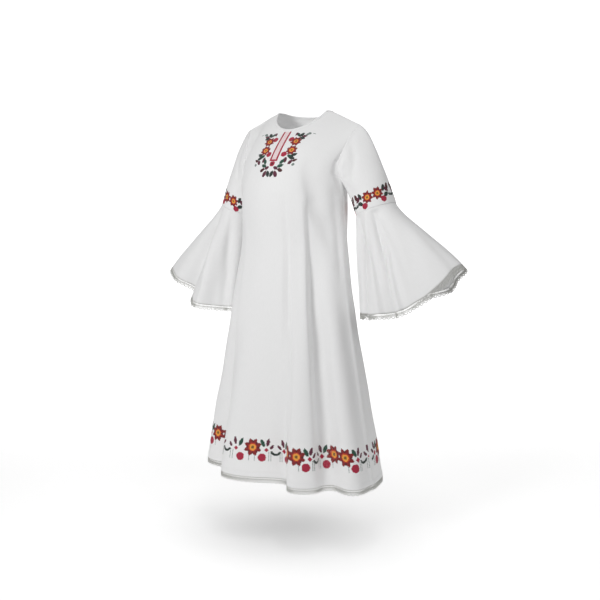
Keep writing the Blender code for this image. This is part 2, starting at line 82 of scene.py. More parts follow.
def ramp(x, softness):
    return (x + np.sqrt(x * x + softness * softness)) / 2  # 0 below 0, x above it, soft corner


def bell(x, width):
    return np.exp(-(x / width) ** 2)


def ease(start, end, x):
    t = np.clip((x - start) / (end - start), 0.0, 1.0)
    return t * t * (3 - 2 * t)


def stack(x, y, z):
    return np.stack(np.broadcast_arrays(x, y, z), axis=-1)


def hermite(start, startPull, end, endPull, t):
    # cubic from start to end that leaves and arrives along the two pulls
    return ((2 * t**3 - 3 * t**2 + 1) * start + (t**3 - 2 * t**2 + t) * startPull
            + (3 * t**2 - 2 * t**3) * end + (t**3 - t**2) * endPull)


def facing(vectors, guide):
    return vectors * np.sign(np.sum(vectors * guide, axis=-1, keepdims=True))


# The body of the shirt, in metres below the neck ends of the shoulder seams
body = {
    "hemZ": -1.058, "chestZ": -0.245,
    "chestMiddleY": -0.050, "hipMiddleY": -0.060,        # middle line between front and back
    "chestEnds": -0.36, "hipStarts": -0.57,
    "halfWidth": 0.170, "widthFlare": 0.170, "widthStart": -0.375, "widthSoftness": 0.04,
    "frontDepth": 0.1168, "frontFlare": 0.072, "frontStart": -0.551, "frontSoftness": 0.06,
    "frontPoint": 1.2,      # power of the front ellipse's cosine over the chest; lower down it is 1
    "bust": 0.012, "bustHeight": 0.09,
    "backDepth": 0.120, "backFlare": 0.0986, "backStart": -0.462, "backSoftness": 0.08,
    "blades": 0.005, "bladeHeight": 0.10,
    "seamGap": 0.0003,
    "clothThick": 0.0009,
    "hemTurn": {"width": 0.014, "softness": 0.002, "step": 0.0006},    # edge turned under once and stitched
}
neck = {
    "halfWidth": 0.090, "dropFront": 0.058, "dropBack": 0.015, "arch": 1.3,
    "shoulderHalfWidth": 0.194, "shoulderDrop": 0.043, "shoulderBend": 0.080, "shoulderSoftness": 0.018,
    "yokeTopHalfWidth": 0.225, "underarm": 0.17,
    "neckShare": 0.34, "tipShare": 0.62,                 # shares of a panel's half width
    "yokeFront": (1.95, -0.45), "yokeBack": (0.62, 0.5), "yokeMiddle": 1.5,    # how fast the yoke closes
    "armholePoint": 0.6, "armholeHollow": 0.05,
    "loopSteps": 90, "inside": (0.0, -0.01, 0.05),       # a place over the neck hole
    "bindingWidth": 0.0076, "bindingThick": 0.0028, "bindingLift": 0.0008, "bindingSides": 14,
    "bindingRound": (0.7, 0.8),                          # powers of its flat oval across and through
}

# Skirt folds: angle from the centre line in degrees, half width in degrees, push out, sideways
# lean in degrees, and the heights where it begins and is full
foldColumns = ("angle", "width", "push", "lean", "start", "full")
frontFolds = (
    (-66, 12, 0.016, 0, -0.60, -1.05),
    (-38, 12, -0.030, 0, -0.50, -1.05),
    (-17, 15, 0.026, -10, -0.45, -1.05),
    (11, 12, -0.046, 0, -0.50, -1.05),
    (28, 10, 0.022, -8, -0.45, -1.05),
    (46, 9, -0.028, 0, -0.35, -1.05),
    (68, 13, 0.014, 0, -0.50, -1.05),
)
backFolds = (
    (-64, 12, 0.014, 0, -0.50, -1.05),
    (-46, 12, -0.024, 0, -0.55, -1.05),
    (-26, 12, 0.026, 5, -0.50, -1.05),
    (-3, 13, -0.032, 0, -0.46, -1.05),
    (20, 12, 0.024, -6, -0.45, -1.05),
    (42, 12, -0.026, 0, -0.42, -1.05),
    (63, 12, 0.014, 0, -0.50, -1.05),
)

# Creases: the half widths on both sides of its line, height, and the line's points.
# On a panel these are (share, z): a share is -1 to 1 from the right side seam to the left one.
# A trough has a negative height, and a crisp fold is narrow on one side
frontCreases = (
    (0.030, 0.010, -0.0080, (-0.50, -0.34), (-0.49, -0.60), (-0.50, -0.85)),
    (0.009, 0.030, 0.0060, (-0.41, -0.36), (-0.385, -0.60), (-0.39, -0.80), (-0.37, -1.2)),
    (0.030, 0.020, -0.0060, (-0.09, -0.55), (-0.03, -0.82), (0.02, -1.2)),
    (0.022, 0.014, 0.0050, (0.165, -0.30), (0.145, -0.62), (0.115, -0.90), (0.10, -1.2)),
    (0.014, 0.006, -0.0060, (0.205, -0.26), (0.225, -0.59), (0.275, -0.81), (0.32, -1.2)),
    (0.018, 0.007, 0.0065, (0.39, -0.28), (0.40, -0.62), (0.415, -0.85), (0.42, -1.2)),
    (0.009, 0.040, -0.0185, (0.465, -0.27), (0.455, -0.55), (0.465, -0.81), (0.475, -1.2)),
    (0.024, 0.024, 0.0030, (0.68, -0.42), (0.68, -0.61), (0.66, -0.81), (0.65, -1.2)),
    (0.030, 0.024, -0.0060, (0.86, -0.44), (0.89, -0.70), (0.90, -1.2)),
    (0.026, 0.030, -0.0075, (0.43, -0.16), (0.52, -0.23), (0.62, -0.30), (0.74, -0.40)),
    (0.030, 0.012, 0.0035, (0.32, -0.16), (0.42, -0.25), (0.50, -0.33)),
    (0.012, 0.014, -0.0050, (0.79, -0.10), (0.72, -0.15), (0.76, -0.18), (0.93, -0.22)),
    (0.018, 0.018, -0.0045, (0.78, -0.24), (0.85, -0.34), (0.86, -0.46)),
    (0.036, 0.018, -0.0130, (-0.44, -0.03), (-0.54, -0.09), (-0.66, -0.16)),
    (0.018, 0.018, -0.0030, (-0.86, -0.19), (-0.68, -0.25), (-0.62, -0.36)),
)
backCreases = (
    (0.018, 0.018, -0.0050, (0.88, -0.19), (0.66, -0.23), (0.55, -0.32)),
    (0.022, 0.014, -0.0045, (0.86, -0.27), (0.70, -0.40), (0.66, -0.60)),
    (0.018, 0.018, -0.0050, (-0.88, -0.19), (-0.64, -0.24), (-0.55, -0.34)),
    (0.014, 0.022, -0.0045, (-0.86, -0.28), (-0.72, -0.42), (-0.66, -0.62)),
    (0.018, 0.028, -0.0060, (-0.05, -0.30), (-0.03, -0.62), (-0.04, -1.2)),
    (0.026, 0.012, 0.0045, (0.18, -0.34), (0.22, -0.66), (0.24, -1.2)),
    (0.014, 0.024, -0.0060, (0.44, -0.36), (0.46, -0.66), (0.47, -1.2)),
    (0.012, 0.026, 0.0045, (-0.30, -0.36), (-0.28, -0.70), (-0.27, -1.2)),
    (0.024, 0.014, -0.0060, (-0.50, -0.38), (-0.51, -0.72), (-0.52, -1.2)),
    (0.014, 0.014, -0.0035, (0.60, -0.09), (0.72, -0.15)),
    (0.014, 0.014, -0.0035, (-0.60, -0.09), (-0.72, -0.15)),
)
quarterGirth = 0.27         # metres that a share of 1 stands for where creases are measured
creaseEnds = {"least": 0.35, "full": (0.3, 0.7), "past": 0.02}    # height at a line's ends, and metres beyond
waves = {
    "lengths": (0.07, 0.09, 0.12, 0.15, 0.19), "height": 0.00028,     # metres
    "front": 4, "back": 6, "sleeve": 21, "flounce": 31,               # seeds of the random directions
}
fadeOut = {"side": 0.93, "top": 1.9}              # where a panel's relief starts to fade, across and up


def middleY(z):
    lean = ease(body["chestEnds"], body["hipStarts"], z)
    return body["chestMiddleY"] + (body["hipMiddleY"] - body["chestMiddleY"]) * lean


def bow(side, angle, z):
    # share of the depth by which a panel stands out at an angle from its centre line
    point = 1.0
    if side < 0:
        point = body["frontPoint"] + (1 - body["frontPoint"]) * ease(body["chestEnds"], body["hipStarts"], z)
    return np.maximum(np.cos(angle), 0) ** point


def halfWidth(z):
    return body["halfWidth"] + body["widthFlare"] * ramp(body["widthStart"] - z, body["widthSoftness"])


def panelDepth(side, z):
    if side < 0:
        return (body["frontDepth"] + body["frontFlare"] * ramp(body["frontStart"] - z, body["frontSoftness"])
                + body["bust"] * bell(z - body["chestZ"], body["bustHeight"]))
    return (body["backDepth"] + body["backFlare"] * ramp(body["backStart"] - z, body["backSoftness"])
            + body["blades"] * bell(z - body["chestZ"], body["bladeHeight"]))


def skirtForm(side, across, z):
    # half an ellipse at each height, with each fold a bell that pushes it out or in and leans it
    degrees = 90 * across
    push = np.zeros_like(degrees)
    lean = np.zeros_like(degrees)
    for row in frontFolds if side < 0 else backFolds:
        fold = dict(zip(foldColumns, row))
        part = bell(degrees - fold["angle"], fold["width"]) * ease(fold["start"], fold["full"], z)
        push = push + fold["push"] * part
        lean = lean + fold["lean"] * part
    free = 1 - np.abs(across) ** 6
    angle = np.radians(degrees + lean * free)
    width = halfWidth(z)
    depth = panelDepth(side, z)
    outward = unit(stack(np.sin(angle) / width, np.cos(angle) / depth, 0.0))
    x = width * np.sin(angle) + push * free * outward[..., 0]
    y = depth * bow(side, angle, z) + push * free * outward[..., 1] + body["seamGap"] / 2
    return stack(x, middleY(z) + side * y, z)


def shoulderZ(x):
    # height of the shoulder line: 0 at the neck, shoulderDrop lower at the tip, level inside
    def slope(at):
        return ramp(at - neck["shoulderBend"], neck["shoulderSoftness"])
    atNeck = slope(neck["halfWidth"])
    return -neck["shoulderDrop"] * (slope(np.abs(x)) - atNeck) / (slope(neck["shoulderHalfWidth"]) - atNeck)


def yokeHalfWidth(rise):
    return body["halfWidth"] + (neck["yokeTopHalfWidth"] - body["halfWidth"]) * rise**2


def acrossAt(x, rise):
    return np.arcsin(np.clip(x / yokeHalfWidth(rise), -1, 1)) / np.radians(90)


def yokeForm(side, across, rise):
    # half ellipses over the chest that flatten to the shoulder line, where rise is 1
    angle = np.radians(90) * across
    x = yokeHalfWidth(rise) * np.sin(angle)
    z = body["chestZ"] + (shoulderZ(x) - body["chestZ"]) * rise
    least, more = neck["yokeFront"] if side < 0 else neck["yokeBack"]
    closing = np.sqrt(np.clip(1 - rise**2, 0, 1)) ** (least + more * np.sin(angle) ** 2)
    depth = panelDepth(side, body["chestZ"]) * bow(side, angle, body["chestZ"]) * closing
    middle = body["chestMiddleY"] * np.clip(1 - rise**2, 0, 1) ** neck["yokeMiddle"]
    return stack(x, middle + side * (depth + body["seamGap"] / 2), z)


def armholePlace(share):
    # where the armhole cuts the yoke, from the shoulder's tip (0) to the underarm (1)
    tip = acrossAt(neck["shoulderHalfWidth"], 1.0)
    across = 1 - (1 - tip) * np.clip(np.cos(np.pi / 2 * share), 0, 1) ** neck["armholePoint"]
    rise = 1 - (1 - neck["underarm"]) * (share - neck["armholeHollow"] * np.sin(2 * np.pi * share))
    return across, rise


def armhole(turn):
    # the left armhole's edge; turn 0 is the shoulder's tip, 90 degrees its front
    turn = np.mod(turn, 2 * np.pi)
    share = np.where(turn <= np.pi, turn / np.pi, 2 - turn / np.pi)
    across, rise = armholePlace(share)
    return np.where((turn <= np.pi)[..., None], yokeForm(-1, across, rise), yokeForm(1, across, rise))


def topPlace(side, across):
    # where a panel's upper edge lies on the yoke: an arched neck, the shoulder, then the armhole
    share = np.abs(across)
    roundNeck = np.clip(share / neck["neckShare"], 0, 1) * np.pi / 2
    alongShoulder = np.clip((share - neck["neckShare"]) / (neck["tipShare"] - neck["neckShare"]), 0, 1)
    downArmhole = np.clip((share - neck["tipShare"]) / (1 - neck["tipShare"]), 0, 1)
    drop = neck["dropFront"] if side < 0 else neck["dropBack"]
    neckX = neck["halfWidth"] * np.sin(roundNeck)
    neckZ = -drop * np.cos(roundNeck) ** neck["arch"]
    neckRise = (neckZ - body["chestZ"]) / (shoulderZ(neckX) - body["chestZ"])
    seamX = neck["halfWidth"] + (neck["shoulderHalfWidth"] - neck["halfWidth"]) * alongShoulder
    atNeck = share <= neck["neckShare"]
    x = np.where(atNeck, neckX, seamX)
    rise = np.where(atNeck, np.clip(neckRise, 0, 1), 1.0)
    armAcross, armRise = armholePlace(downArmhole)
    beforeArm = share <= neck["tipShare"]
    topAcross = np.where(beforeArm, acrossAt(x, rise), armAcross)
    return topAcross * np.sign(across), np.where(beforeArm, rise, armRise)


def creaseRelief(rows, u, v, uMetres, vMetres, wrap=None):
    # sum of soft ridges and troughs: each is its height times a bell of the distance to its line,
    # read at the same v, and is fullest in the middle of the line
    relief = np.zeros(np.broadcast(u, v).shape)
    for lowSide, highSide, height, *line in rows:
        at = np.array(sorted(line, key=lambda point: point[1]))
        slope = np.interp(v, at[:, 1], np.gradient(at[:, 0], at[:, 1])) * uMetres / vMetres
        away = u - np.interp(v, at[:, 1], at[:, 0])
        if wrap:
            away = (away + wrap / 2) % wrap - wrap / 2
        away = away * uMetres / np.hypot(1, slope)
        past = np.maximum(np.maximum(at[0, 1] - v, v - at[-1, 1]), 0) * vMetres
        place = (v - at[0, 1]) / (at[-1, 1] - at[0, 1])
        begins, ends = creaseEnds["full"]
        rest = 1 - creaseEnds["least"]
        fullness = creaseEnds["least"] + rest * ease(0, begins, place) * ease(1, ends, place)
        section = height * bell(away, np.where(away < 0, lowSide, highSide))
        relief = relief + section * bell(past, creaseEnds["past"]) * fullness
    return relief


def unevenness(u, v, piece):
    # a few long waves in all directions, as no hung cloth is quite smooth
    random = np.random.default_rng(waves[piece])
    relief = np.zeros(np.broadcast(u, v).shape)
    for length in waves["lengths"]:
        turn, start = random.uniform(0, 2 * np.pi, 2)
        ahead = u * np.cos(turn) + v * np.sin(turn)
        relief = relief + waves["height"] * np.sin(2 * np.pi * ahead / length + start)
    return relief


def panelForm(side, across, up):
    # up is 0 at the hem, 1 at the chest and 2 at the neck, shoulder and armhole edge; returns the
    # points and the share and height that creases are measured by
    across, up = np.broadcast_arrays(across, up)
    skirtZ = body["hemZ"] + (body["chestZ"] - body["hemZ"]) * np.clip(up, 0, 1)
    below = skirtForm(side, across, skirtZ)
    topAcross, topRise = topPlace(side, across)
    t = np.sin(np.pi / 2 * np.clip(up - 1, 0, 1))
    yokeAcross = across + (topAcross - across) * t
    above = yokeForm(side, yokeAcross, topRise * t)
    points = np.where((up <= 1)[..., None], below, above)
    return points, np.where(up <= 1, across, yokeAcross), points[..., 2]


def panelSurface(side, across, up, step=0.004):
    # the panel's form, moved along its normal by its creases; they fade out at every sewn edge
    points, share, z = panelForm(side, across, up)
    right = panelForm(side, across + step, up)[0] - panelForm(side, across - step, up)[0]
    upper = panelForm(side, across, np.minimum(up + step, 2))[0] - panelForm(side, across, up - step)[0]
    normal = unit(np.cross(right, upper)) * -side
    relief = creaseRelief(frontCreases if side < 0 else backCreases, share, z, quarterGirth, 1.0)
    relief = relief + unevenness(share * quarterGirth, z, "front" if side < 0 else "back")
    relief = relief * ease(1.0, fadeOut["side"], np.abs(across)) * ease(2.0, fadeOut["top"], up)
    hem = body["hemTurn"]
    turnedHem = hem["step"] * ease(hem["width"] + hem["softness"], hem["width"], z - body["hemZ"])
    return points + normal * (relief + turnedHem)[..., None], normal


# The two arms: round seam at the elbow, then the flounce's rim, in metres and degrees
arms = {
    "left": {
        "sign": 1, "cuffX": 0.249, "cuffZ": -0.280, "cuffRadius": 0.058, "cuffTilt": 20.0,
        "rimX": 0.366, "rimZ": -0.514, "rimHalf": 0.156, "rimDepth": 0.108, "rimRise": 0.079,
        "drop": 0.040, "dropOut": 0.033, "dropFront": 0.014,
        # folds: degrees round from the outer side to the front, half width, push out
        "folds": ((150, 13, -0.014), (126, 11, 0.014), (103, 10, -0.020), (70, 10, -0.014),
                  (40, 16, 0.006), (18, 10, -0.005), (-40, 13, -0.012), (-70, 14, 0.014),
                  (-100, 13, -0.014), (-130, 14, 0.014), (-165, 12, -0.008)),
        # creases as on the panels, with points of (degrees, share of the way down)
        "creases": ((0.014, 0.018, 0.0130, (146, 0.05), (146, 0.40), (146, 1.3)),
                    (0.014, 0.012, -0.0170, (123, 0.05), (123, 0.40), (124, 1.3)),
                    (0.010, 0.009, 0.0120, (93, 0.06), (106, 0.42), (110, 0.71), (111, 1.3)),
                    (0.018, 0.008, -0.0190, (72, 0.10), (82, 0.37), (90, 0.55), (96, 0.80), (97, 1.3)),
                    (0.020, 0.007, -0.0100, (62, 0.14), (68, 0.45), (75, 0.64), (78, 0.80), (79, 1.3)),
                    (0.018, 0.014, -0.0060, (42, 0.45), (50, 0.67), (56, 0.85), (58, 1.3)),
                    (0.016, 0.016, 0.0030, (22, 0.3), (24, 0.7), (26, 1.3)),
                    (0.014, 0.012, -0.0055, (-56, 0.1), (-58, 0.5), (-60, 1.3)),
                    (0.012, 0.016, 0.0050, (-84, 0.1), (-86, 0.6), (-86, 1.3)),
                    (0.016, 0.012, -0.0055, (-110, 0.1), (-112, 0.6), (-114, 1.3)),
                    (0.012, 0.014, -0.0045, (150, 0.1), (154, 0.6), (156, 1.3))),
        "sleeveCreases": ((0.012, 0.012, -0.0030, (58, 0.05), (72, 0.30), (94, 0.45), (120, 0.60)),
                          (0.012, 0.012, -0.0028, (120, 0.10), (100, 0.30), (84, 0.50)),
                          (0.012, 0.012, -0.0024, (150, 0.30), (120, 0.55), (96, 0.80)),
                          (0.012, 0.012, -0.0030, (-60, 0.10), (-78, 0.30), (-96, 0.55)),
                          (0.012, 0.012, -0.0024, (-140, 0.30), (-112, 0.55), (-90, 0.80))),
        "bandMiddle": 61,   # where a pair of band flowers is centred, mm round from the outer side
    },
    "right": {
        "sign": -1, "cuffX": 0.236, "cuffZ": -0.284, "cuffRadius": 0.058, "cuffTilt": 19.0,
        "rimX": 0.347, "rimZ": -0.537, "rimHalf": 0.148, "rimDepth": 0.110, "rimRise": 0.065,
        "drop": 0.036, "dropOut": 0.010, "dropFront": 0.012,
        "folds": ((28, 12, 0.010), (66, 13, -0.052), (96, 13, 0.012), (120, 12, -0.010),
                  (142, 12, 0.008), (165, 12, -0.010), (-40, 13, -0.012), (-70, 14, 0.014),
                  (-100, 13, -0.014), (-130, 14, 0.014), (-165, 12, -0.008)),
        "creases": ((0.006, 0.020, 0.0070, (68, 0.10), (80, 0.40), (92, 0.60), (98, 0.80), (100, 1.3)),
                    (0.018, 0.006, -0.0065, (58, 0.12), (68, 0.40), (80, 0.60), (86, 0.80), (88, 1.3)),
                    (0.012, 0.016, -0.0110, (108, 0.15), (118, 0.40), (128, 0.65), (134, 1.3)),
                    (0.016, 0.016, 0.0028, (44, 0.2), (46, 0.6), (48, 1.3)),
                    (0.014, 0.014, -0.0030, (14, 0.2), (12, 0.6), (10, 1.3)),
                    (0.014, 0.012, -0.0055, (-56, 0.1), (-58, 0.5), (-60, 1.3)),
                    (0.012, 0.016, 0.0050, (-84, 0.1), (-86, 0.6), (-86, 1.3)),
                    (0.016, 0.012, -0.0055, (-110, 0.1), (-112, 0.6), (-114, 1.3)),
                    (0.012, 0.014, -0.0045, (160, 0.1), (164, 0.6), (166, 1.3))),
        "sleeveCreases": ((0.012, 0.012, -0.0030, (56, 0.06), (74, 0.30), (96, 0.50)),
                          (0.012, 0.012, -0.0028, (122, 0.12), (104, 0.34), (88, 0.55)),
                          (0.012, 0.012, -0.0024, (152, 0.30), (124, 0.55), (100, 0.80)),
                          (0.012, 0.012, -0.0030, (-62, 0.10), (-80, 0.32), (-98, 0.56)),
                          (0.012, 0.012, -0.0024, (-138, 0.30), (-112, 0.55), (-92, 0.80))),
        "bandMiddle": 86,
    },
}
tubeLength = 0.25          # metres that a share of 1 stands for along a sleeve or flounce
# x and z of the way a sleeve leaves the armhole, and how far each end pulls it, as a share of its length
sleeveLeave = {"top": (0.86, -0.51), "under": (0.62, -0.78), "pull": (0.6, 0.9)}
flounceLeave = {"pull": 0.5, "towardRim": 0.6, "droop": -0.2}
# a flounce's girth grows by flare, waves run in metres a radian, and the relief fades in below the seam
tubeRelief = {"flare": 1.4, "wavesRound": 0.07, "fade": 0.08}


def mirrored(points, arm):
    return points * np.array([arm["sign"], 1.0, 1.0])


def cuffRing(arm, turn):
    # circle of cuffRadius, tilted outwards; turn 0 is its outer side, 90 degrees its front
    tilt = np.radians(arm["cuffTilt"])
    outward = stack(np.cos(turn) * np.cos(tilt), -np.sin(turn), np.cos(turn) * np.sin(tilt))
    return np.array([arm["cuffX"], 0.0, arm["cuffZ"]]) + arm["cuffRadius"] * outward


def cuffAxis(arm):
    tilt = np.radians(arm["cuffTilt"])
    return np.array([np.sin(tilt), 0.0, -np.cos(tilt)])


def sleeveForm(arm, turn, along):
    # curves from the armhole's edge to the cuff seam, leaving along both ends' directions
    start = armhole(turn)
    end = cuffRing(arm, turn)
    reach = np.linalg.norm(end - start, axis=-1, keepdims=True)
    top = (1 + np.cos(turn)) / 2
    leaving = unit(stack(sleeveLeave["top"][0] * top + sleeveLeave["under"][0] * (1 - top), 0.0,
                         sleeveLeave["top"][1] * top + sleeveLeave["under"][1] * (1 - top)))
    first, last = sleeveLeave["pull"]
    return hermite(start, first * reach * leaving, end, last * reach * cuffAxis(arm), along[..., None])


def flounceRim(arm, turn):
    # oval that rises outwards and hangs lower in front and behind, with the folds' bells
    degrees = np.degrees(turn)
    push = np.zeros_like(degrees)
    for angle, width, depth in arm["folds"]:
        push = push + depth * bell((degrees - angle + 180) % 360 - 180, width)
    c, s = np.cos(turn), np.sin(turn)
    hang = (arm["drop"] + arm["dropOut"] * c + arm["dropFront"] * s) * s**2
    return stack(arm["rimX"] + (arm["rimHalf"] + push) * c, -(arm["rimDepth"] + push) * s,
                 arm["rimZ"] + arm["rimRise"] * c - hang)


def flounceForm(arm, turn, along):
    # curves from the cuff seam to the lace's edge, where along is 1
    start = cuffRing(arm, turn)
    end = flounceRim(arm, turn)
    reach = np.linalg.norm(end - start, axis=-1, keepdims=True)
    straight = unit(end - start)
    startPull = flounceLeave["pull"] * reach * unit(cuffAxis(arm) + flounceLeave["towardRim"] * straight)
    endPull = reach * unit(straight + np.array([0.0, 0.0, flounceLeave["droop"]]))
    return hermite(start, startPull, end, endPull, along[..., None])


def tubeSurface(kind, arm, turn, along, step=0.01):
    # a sleeve's or flounce's form moved along its normal by its creases, which start below its seam
    form = sleeveForm if kind == "sleeve" else flounceForm
    creases = arm["sleeveCreases"] if kind == "sleeve" else arm["creases"]
    turn, along = np.broadcast_arrays(turn, along)
    points = form(arm, turn, along)
    roundWay = form(arm, turn + step, along) - form(arm, turn - step, along)
    downWay = form(arm, turn, along + step) - form(arm, turn, along - step)
    normal = unit(np.cross(roundWay, downWay))
    radius = arm["cuffRadius"] * (1 + (tubeRelief["flare"] * along if kind == "flounce" else 0))
    relief = creaseRelief(creases, np.degrees(turn), along, np.radians(radius), tubeLength, wrap=360)
    relief = relief + unevenness(turn * tubeRelief["wavesRound"], along * tubeLength, kind)
    return points + normal * (relief * ease(0, tubeRelief["fade"], along))[..., None], normal


# Meshes

def arcLengths(points, axis):
    # running length along a grid's rows or columns, in metres, for the weave to follow
    steps = np.linalg.norm(np.diff(points, axis=axis), axis=-1)
    pad = [(0, 0), (0, 0)]
    pad[axis] = (1, 0)
    return np.pad(np.cumsum(steps, axis=axis), pad)


def meshPiece(name, vertices, faces, material, cornerUvs=None, slots=None, smooth=True):
    mesh = bpy.data.meshes.new(name)
    mesh.vertices.add(len(vertices))
    mesh.vertices.foreach_set("co", np.asarray(vertices, dtype=np.float32).ravel())
    mesh.loops.add(faces.size)
    mesh.loops.foreach_set("vertex_index", faces.astype(np.int32).ravel())
    mesh.polygons.add(len(faces))
    mesh.polygons.foreach_set("loop_start", np.arange(0, faces.size, faces.shape[1], dtype=np.int32))
    if smooth:
        mesh.polygons.foreach_set("use_smooth", np.ones(len(faces), dtype=bool))
    if cornerUvs is not None:
        layer = mesh.uv_layers.new(name="cloth")
        layer.data.foreach_set("uv", np.asarray(cornerUvs, dtype=np.float32).ravel())
    if slots is not None:
        mesh.polygons.foreach_set("material_index", slots.astype(np.int32))
    for one in material if isinstance(material, list) else [material]:
        mesh.materials.append(one)
    mesh.update(calc_edges=True)
    mesh.validate()
    piece = bpy.data.objects.new(name, mesh)
    bpy.context.scene.collection.objects.link(piece)
    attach(piece, "root")
    return piece


def gridFaces(rows, columns, closed=False):
    index = np.arange(rows * columns).reshape(rows, columns)
    if closed:
        index = np.concatenate([index, index[:, :1]], axis=1)
    return np.stack([index[:-1, :-1], index[:-1, 1:], index[1:, 1:], index[1:, :-1]], axis=-1).reshape(-1, 4)


def gridUvs(points, closed):
    # metres along the rows and columns at each corner of each face, running on past a closed
    # grid's last column
    if closed:
        points = np.concatenate([points, points[:, :1]], axis=1)
    uv = np.stack([arcLengths(points, 1), arcLengths(points, 0)], axis=-1)
    return uv.reshape(-1, 2)[gridFaces(*points.shape[:2])]


def gridArea(points):
    # area of a grid of points, as the sum of its quads' halved crossed diagonals
    diagonals = np.cross(points[1:, 1:] - points[:-1, :-1], points[1:, :-1] - points[:-1, 1:])
    return round(float(np.linalg.norm(diagonals, axis=-1).sum() / 2), 4)


def clothPiece(name, points, normal, material, closed=False):
    # a grid of points turned so that its faces look out, with the cloth's thickness round it
    rows, columns = points.shape[:2]
    faces = gridFaces(rows, columns, closed)
    uvs = gridUvs(points, closed)
    corner = points.reshape(-1, 3)[faces]
    looks = np.cross(corner[:, 1] - corner[:, 0], corner[:, 3] - corner[:, 0])
    outward = normal.reshape(-1, 3)[faces[:, 0]]
    if np.sum(looks * outward) < 0:
        faces = faces[:, ::-1]
        uvs = uvs[:, ::-1]
    piece = meshPiece(name, points.reshape(-1, 3), faces, material, uvs)
    wall = piece.modifiers.new("cloth", "SOLIDIFY")
    wall.thickness = body["clothThick"]
    wall.offset = 0.0
    wall.use_even_offset = False
    return piece


# Materials

def linearColour(hexColour, alpha=1.0):
    s = np.array([int(hexColour[i:i + 2], 16) / 255 for i in (1, 3, 5)])
    return (*np.where(s <= 0.04045, s / 12.92, ((s + 0.055) / 1.055) ** 2.4), alpha)


def addNode(tree, kind, settings=None, links=None):
    node = tree.nodes.new(kind)
    for name, value in (settings or {}).items():
        if name in node.inputs:
            node.inputs[name].default_value = value
        else:
            setattr(node, name, value)
    for name, source in (links or {}).items():
        tree.links.new(source, node.inputs[name])
    return node


def newMaterial(name):
    material = bpy.data.materials.new(name)
    material.use_nodes = True
    tree = material.node_tree
    return material, tree, tree.nodes["Principled BSDF"]


def mixColours(tree, shader, low, high, share):
    # the shader's colour runs from low to high with the share
    colour = addNode(tree, "ShaderNodeMix", {"data_type": "RGBA"})
    colour.inputs[6].default_value = low
    colour.inputs[7].default_value = high
    tree.links.new(share, colour.inputs[0])
    tree.links.new(colour.outputs[2], shader.inputs["Base Color"])


def addBump(tree, shader, strength, depth, height):
    bump = addNode(tree, "ShaderNodeBump", {"Strength": strength, "Distance": depth}, {"Height": height})
    tree.links.new(bump.outputs["Normal"], shader.inputs["Normal"])


# Plain-woven cotton and linen, bleached: matt, with faint uneven threads and a soft bloom
clothFinish = {
    "light": "#EFEFEF", "shade": "#ECECEC",
    "thread": 0.0011,       # metres; the real threads are 0.5 mm apart and wouldn't show
    "slub": (0.0016, 0.018),    # width and length over which a thread thickens
    "wobble": 0.6,          # how unevenly the threads run
    "roughness": 0.88, "specular": 0.25, "sheen": 0.06, "sheenRoughness": 0.5,
    "bump": 0.05, "bumpDepth": 0.0003,
}


def wovenCloth(name, finish):
    material, tree, shader = newMaterial(name)
    uv = addNode(tree, "ShaderNodeUVMap", {"uv_map": "cloth"})
    scale = 2 * np.pi / 20 / finish["thread"]      # a wave texture's bands are 2 pi / 20 wide at scale 1
    weave = addNode(tree, "ShaderNodeMath", {"operation": "MULTIPLY"})
    for way, socket in zip("XY", weave.inputs):
        bands = {"bands_direction": way, "Scale": scale, "Detail": 1.0, "Distortion": finish["wobble"]}
        threads = addNode(tree, "ShaderNodeTexWave", bands, {"Vector": uv.outputs["UV"]})
        tree.links.new(threads.outputs["Fac"], socket)
    slubWidth, slubLength = finish["slub"]
    along = addNode(tree, "ShaderNodeMapping", {"Scale": (1 / slubWidth, 1 / slubLength, 1.0)},
                    {"Vector": uv.outputs["UV"]})
    slubs = addNode(tree, "ShaderNodeTexNoise", {"Scale": 1.0, "Detail": 2.0},
                    {"Vector": along.outputs["Vector"]})
    tint = addNode(tree, "ShaderNodeMapRange", {"From Min": 0.3, "From Max": 0.7},
                   {"Value": slubs.outputs["Fac"]})
    mixColours(tree, shader, linearColour(finish["shade"]), linearColour(finish["light"]),
               tint.outputs["Result"])
    height = addNode(tree, "ShaderNodeMath", {"operation": "ADD"})
    tree.links.new(weave.outputs["Value"], height.inputs[0])
    tree.links.new(tint.outputs["Result"], height.inputs[1])
    addBump(tree, shader, finish["bump"], finish["bumpDepth"], height.outputs["Value"])
    shader.inputs["Roughness"].default_value = finish["roughness"]
    shader.inputs["Specular IOR Level"].default_value = finish["specular"]
    shader.inputs["Sheen Weight"].default_value = finish["sheen"]
    shader.inputs["Sheen Roughness"].default_value = finish["sheenRoughness"]
    return material


# Six-strand cotton floss, mercerised: a low silky shine over slightly uneven dye
floss = {
    "deepRed": "#860A12", "darkRed": "#4A080C", "orangeRed": "#CC3C12", "yellow": "#F0A63C",
    "olive": "#7A5A10", "crimson": "#AE0C38", "maroon": "#5C1432", "green": "#124A36",
    "darkGreen": "#162A22", "greyGreen": "#7C8A84", "pale": "#EFDCDD",
}
flossNames = list(floss)
# dye patches some 3 mm across, and strands half a millimetre apart, coarser than real so that they show
threadFinish = {"patches": 320.0, "strands": 600.0, "wobble": 1.0, "bump": 0.3, "bumpDepth": 0.0002}


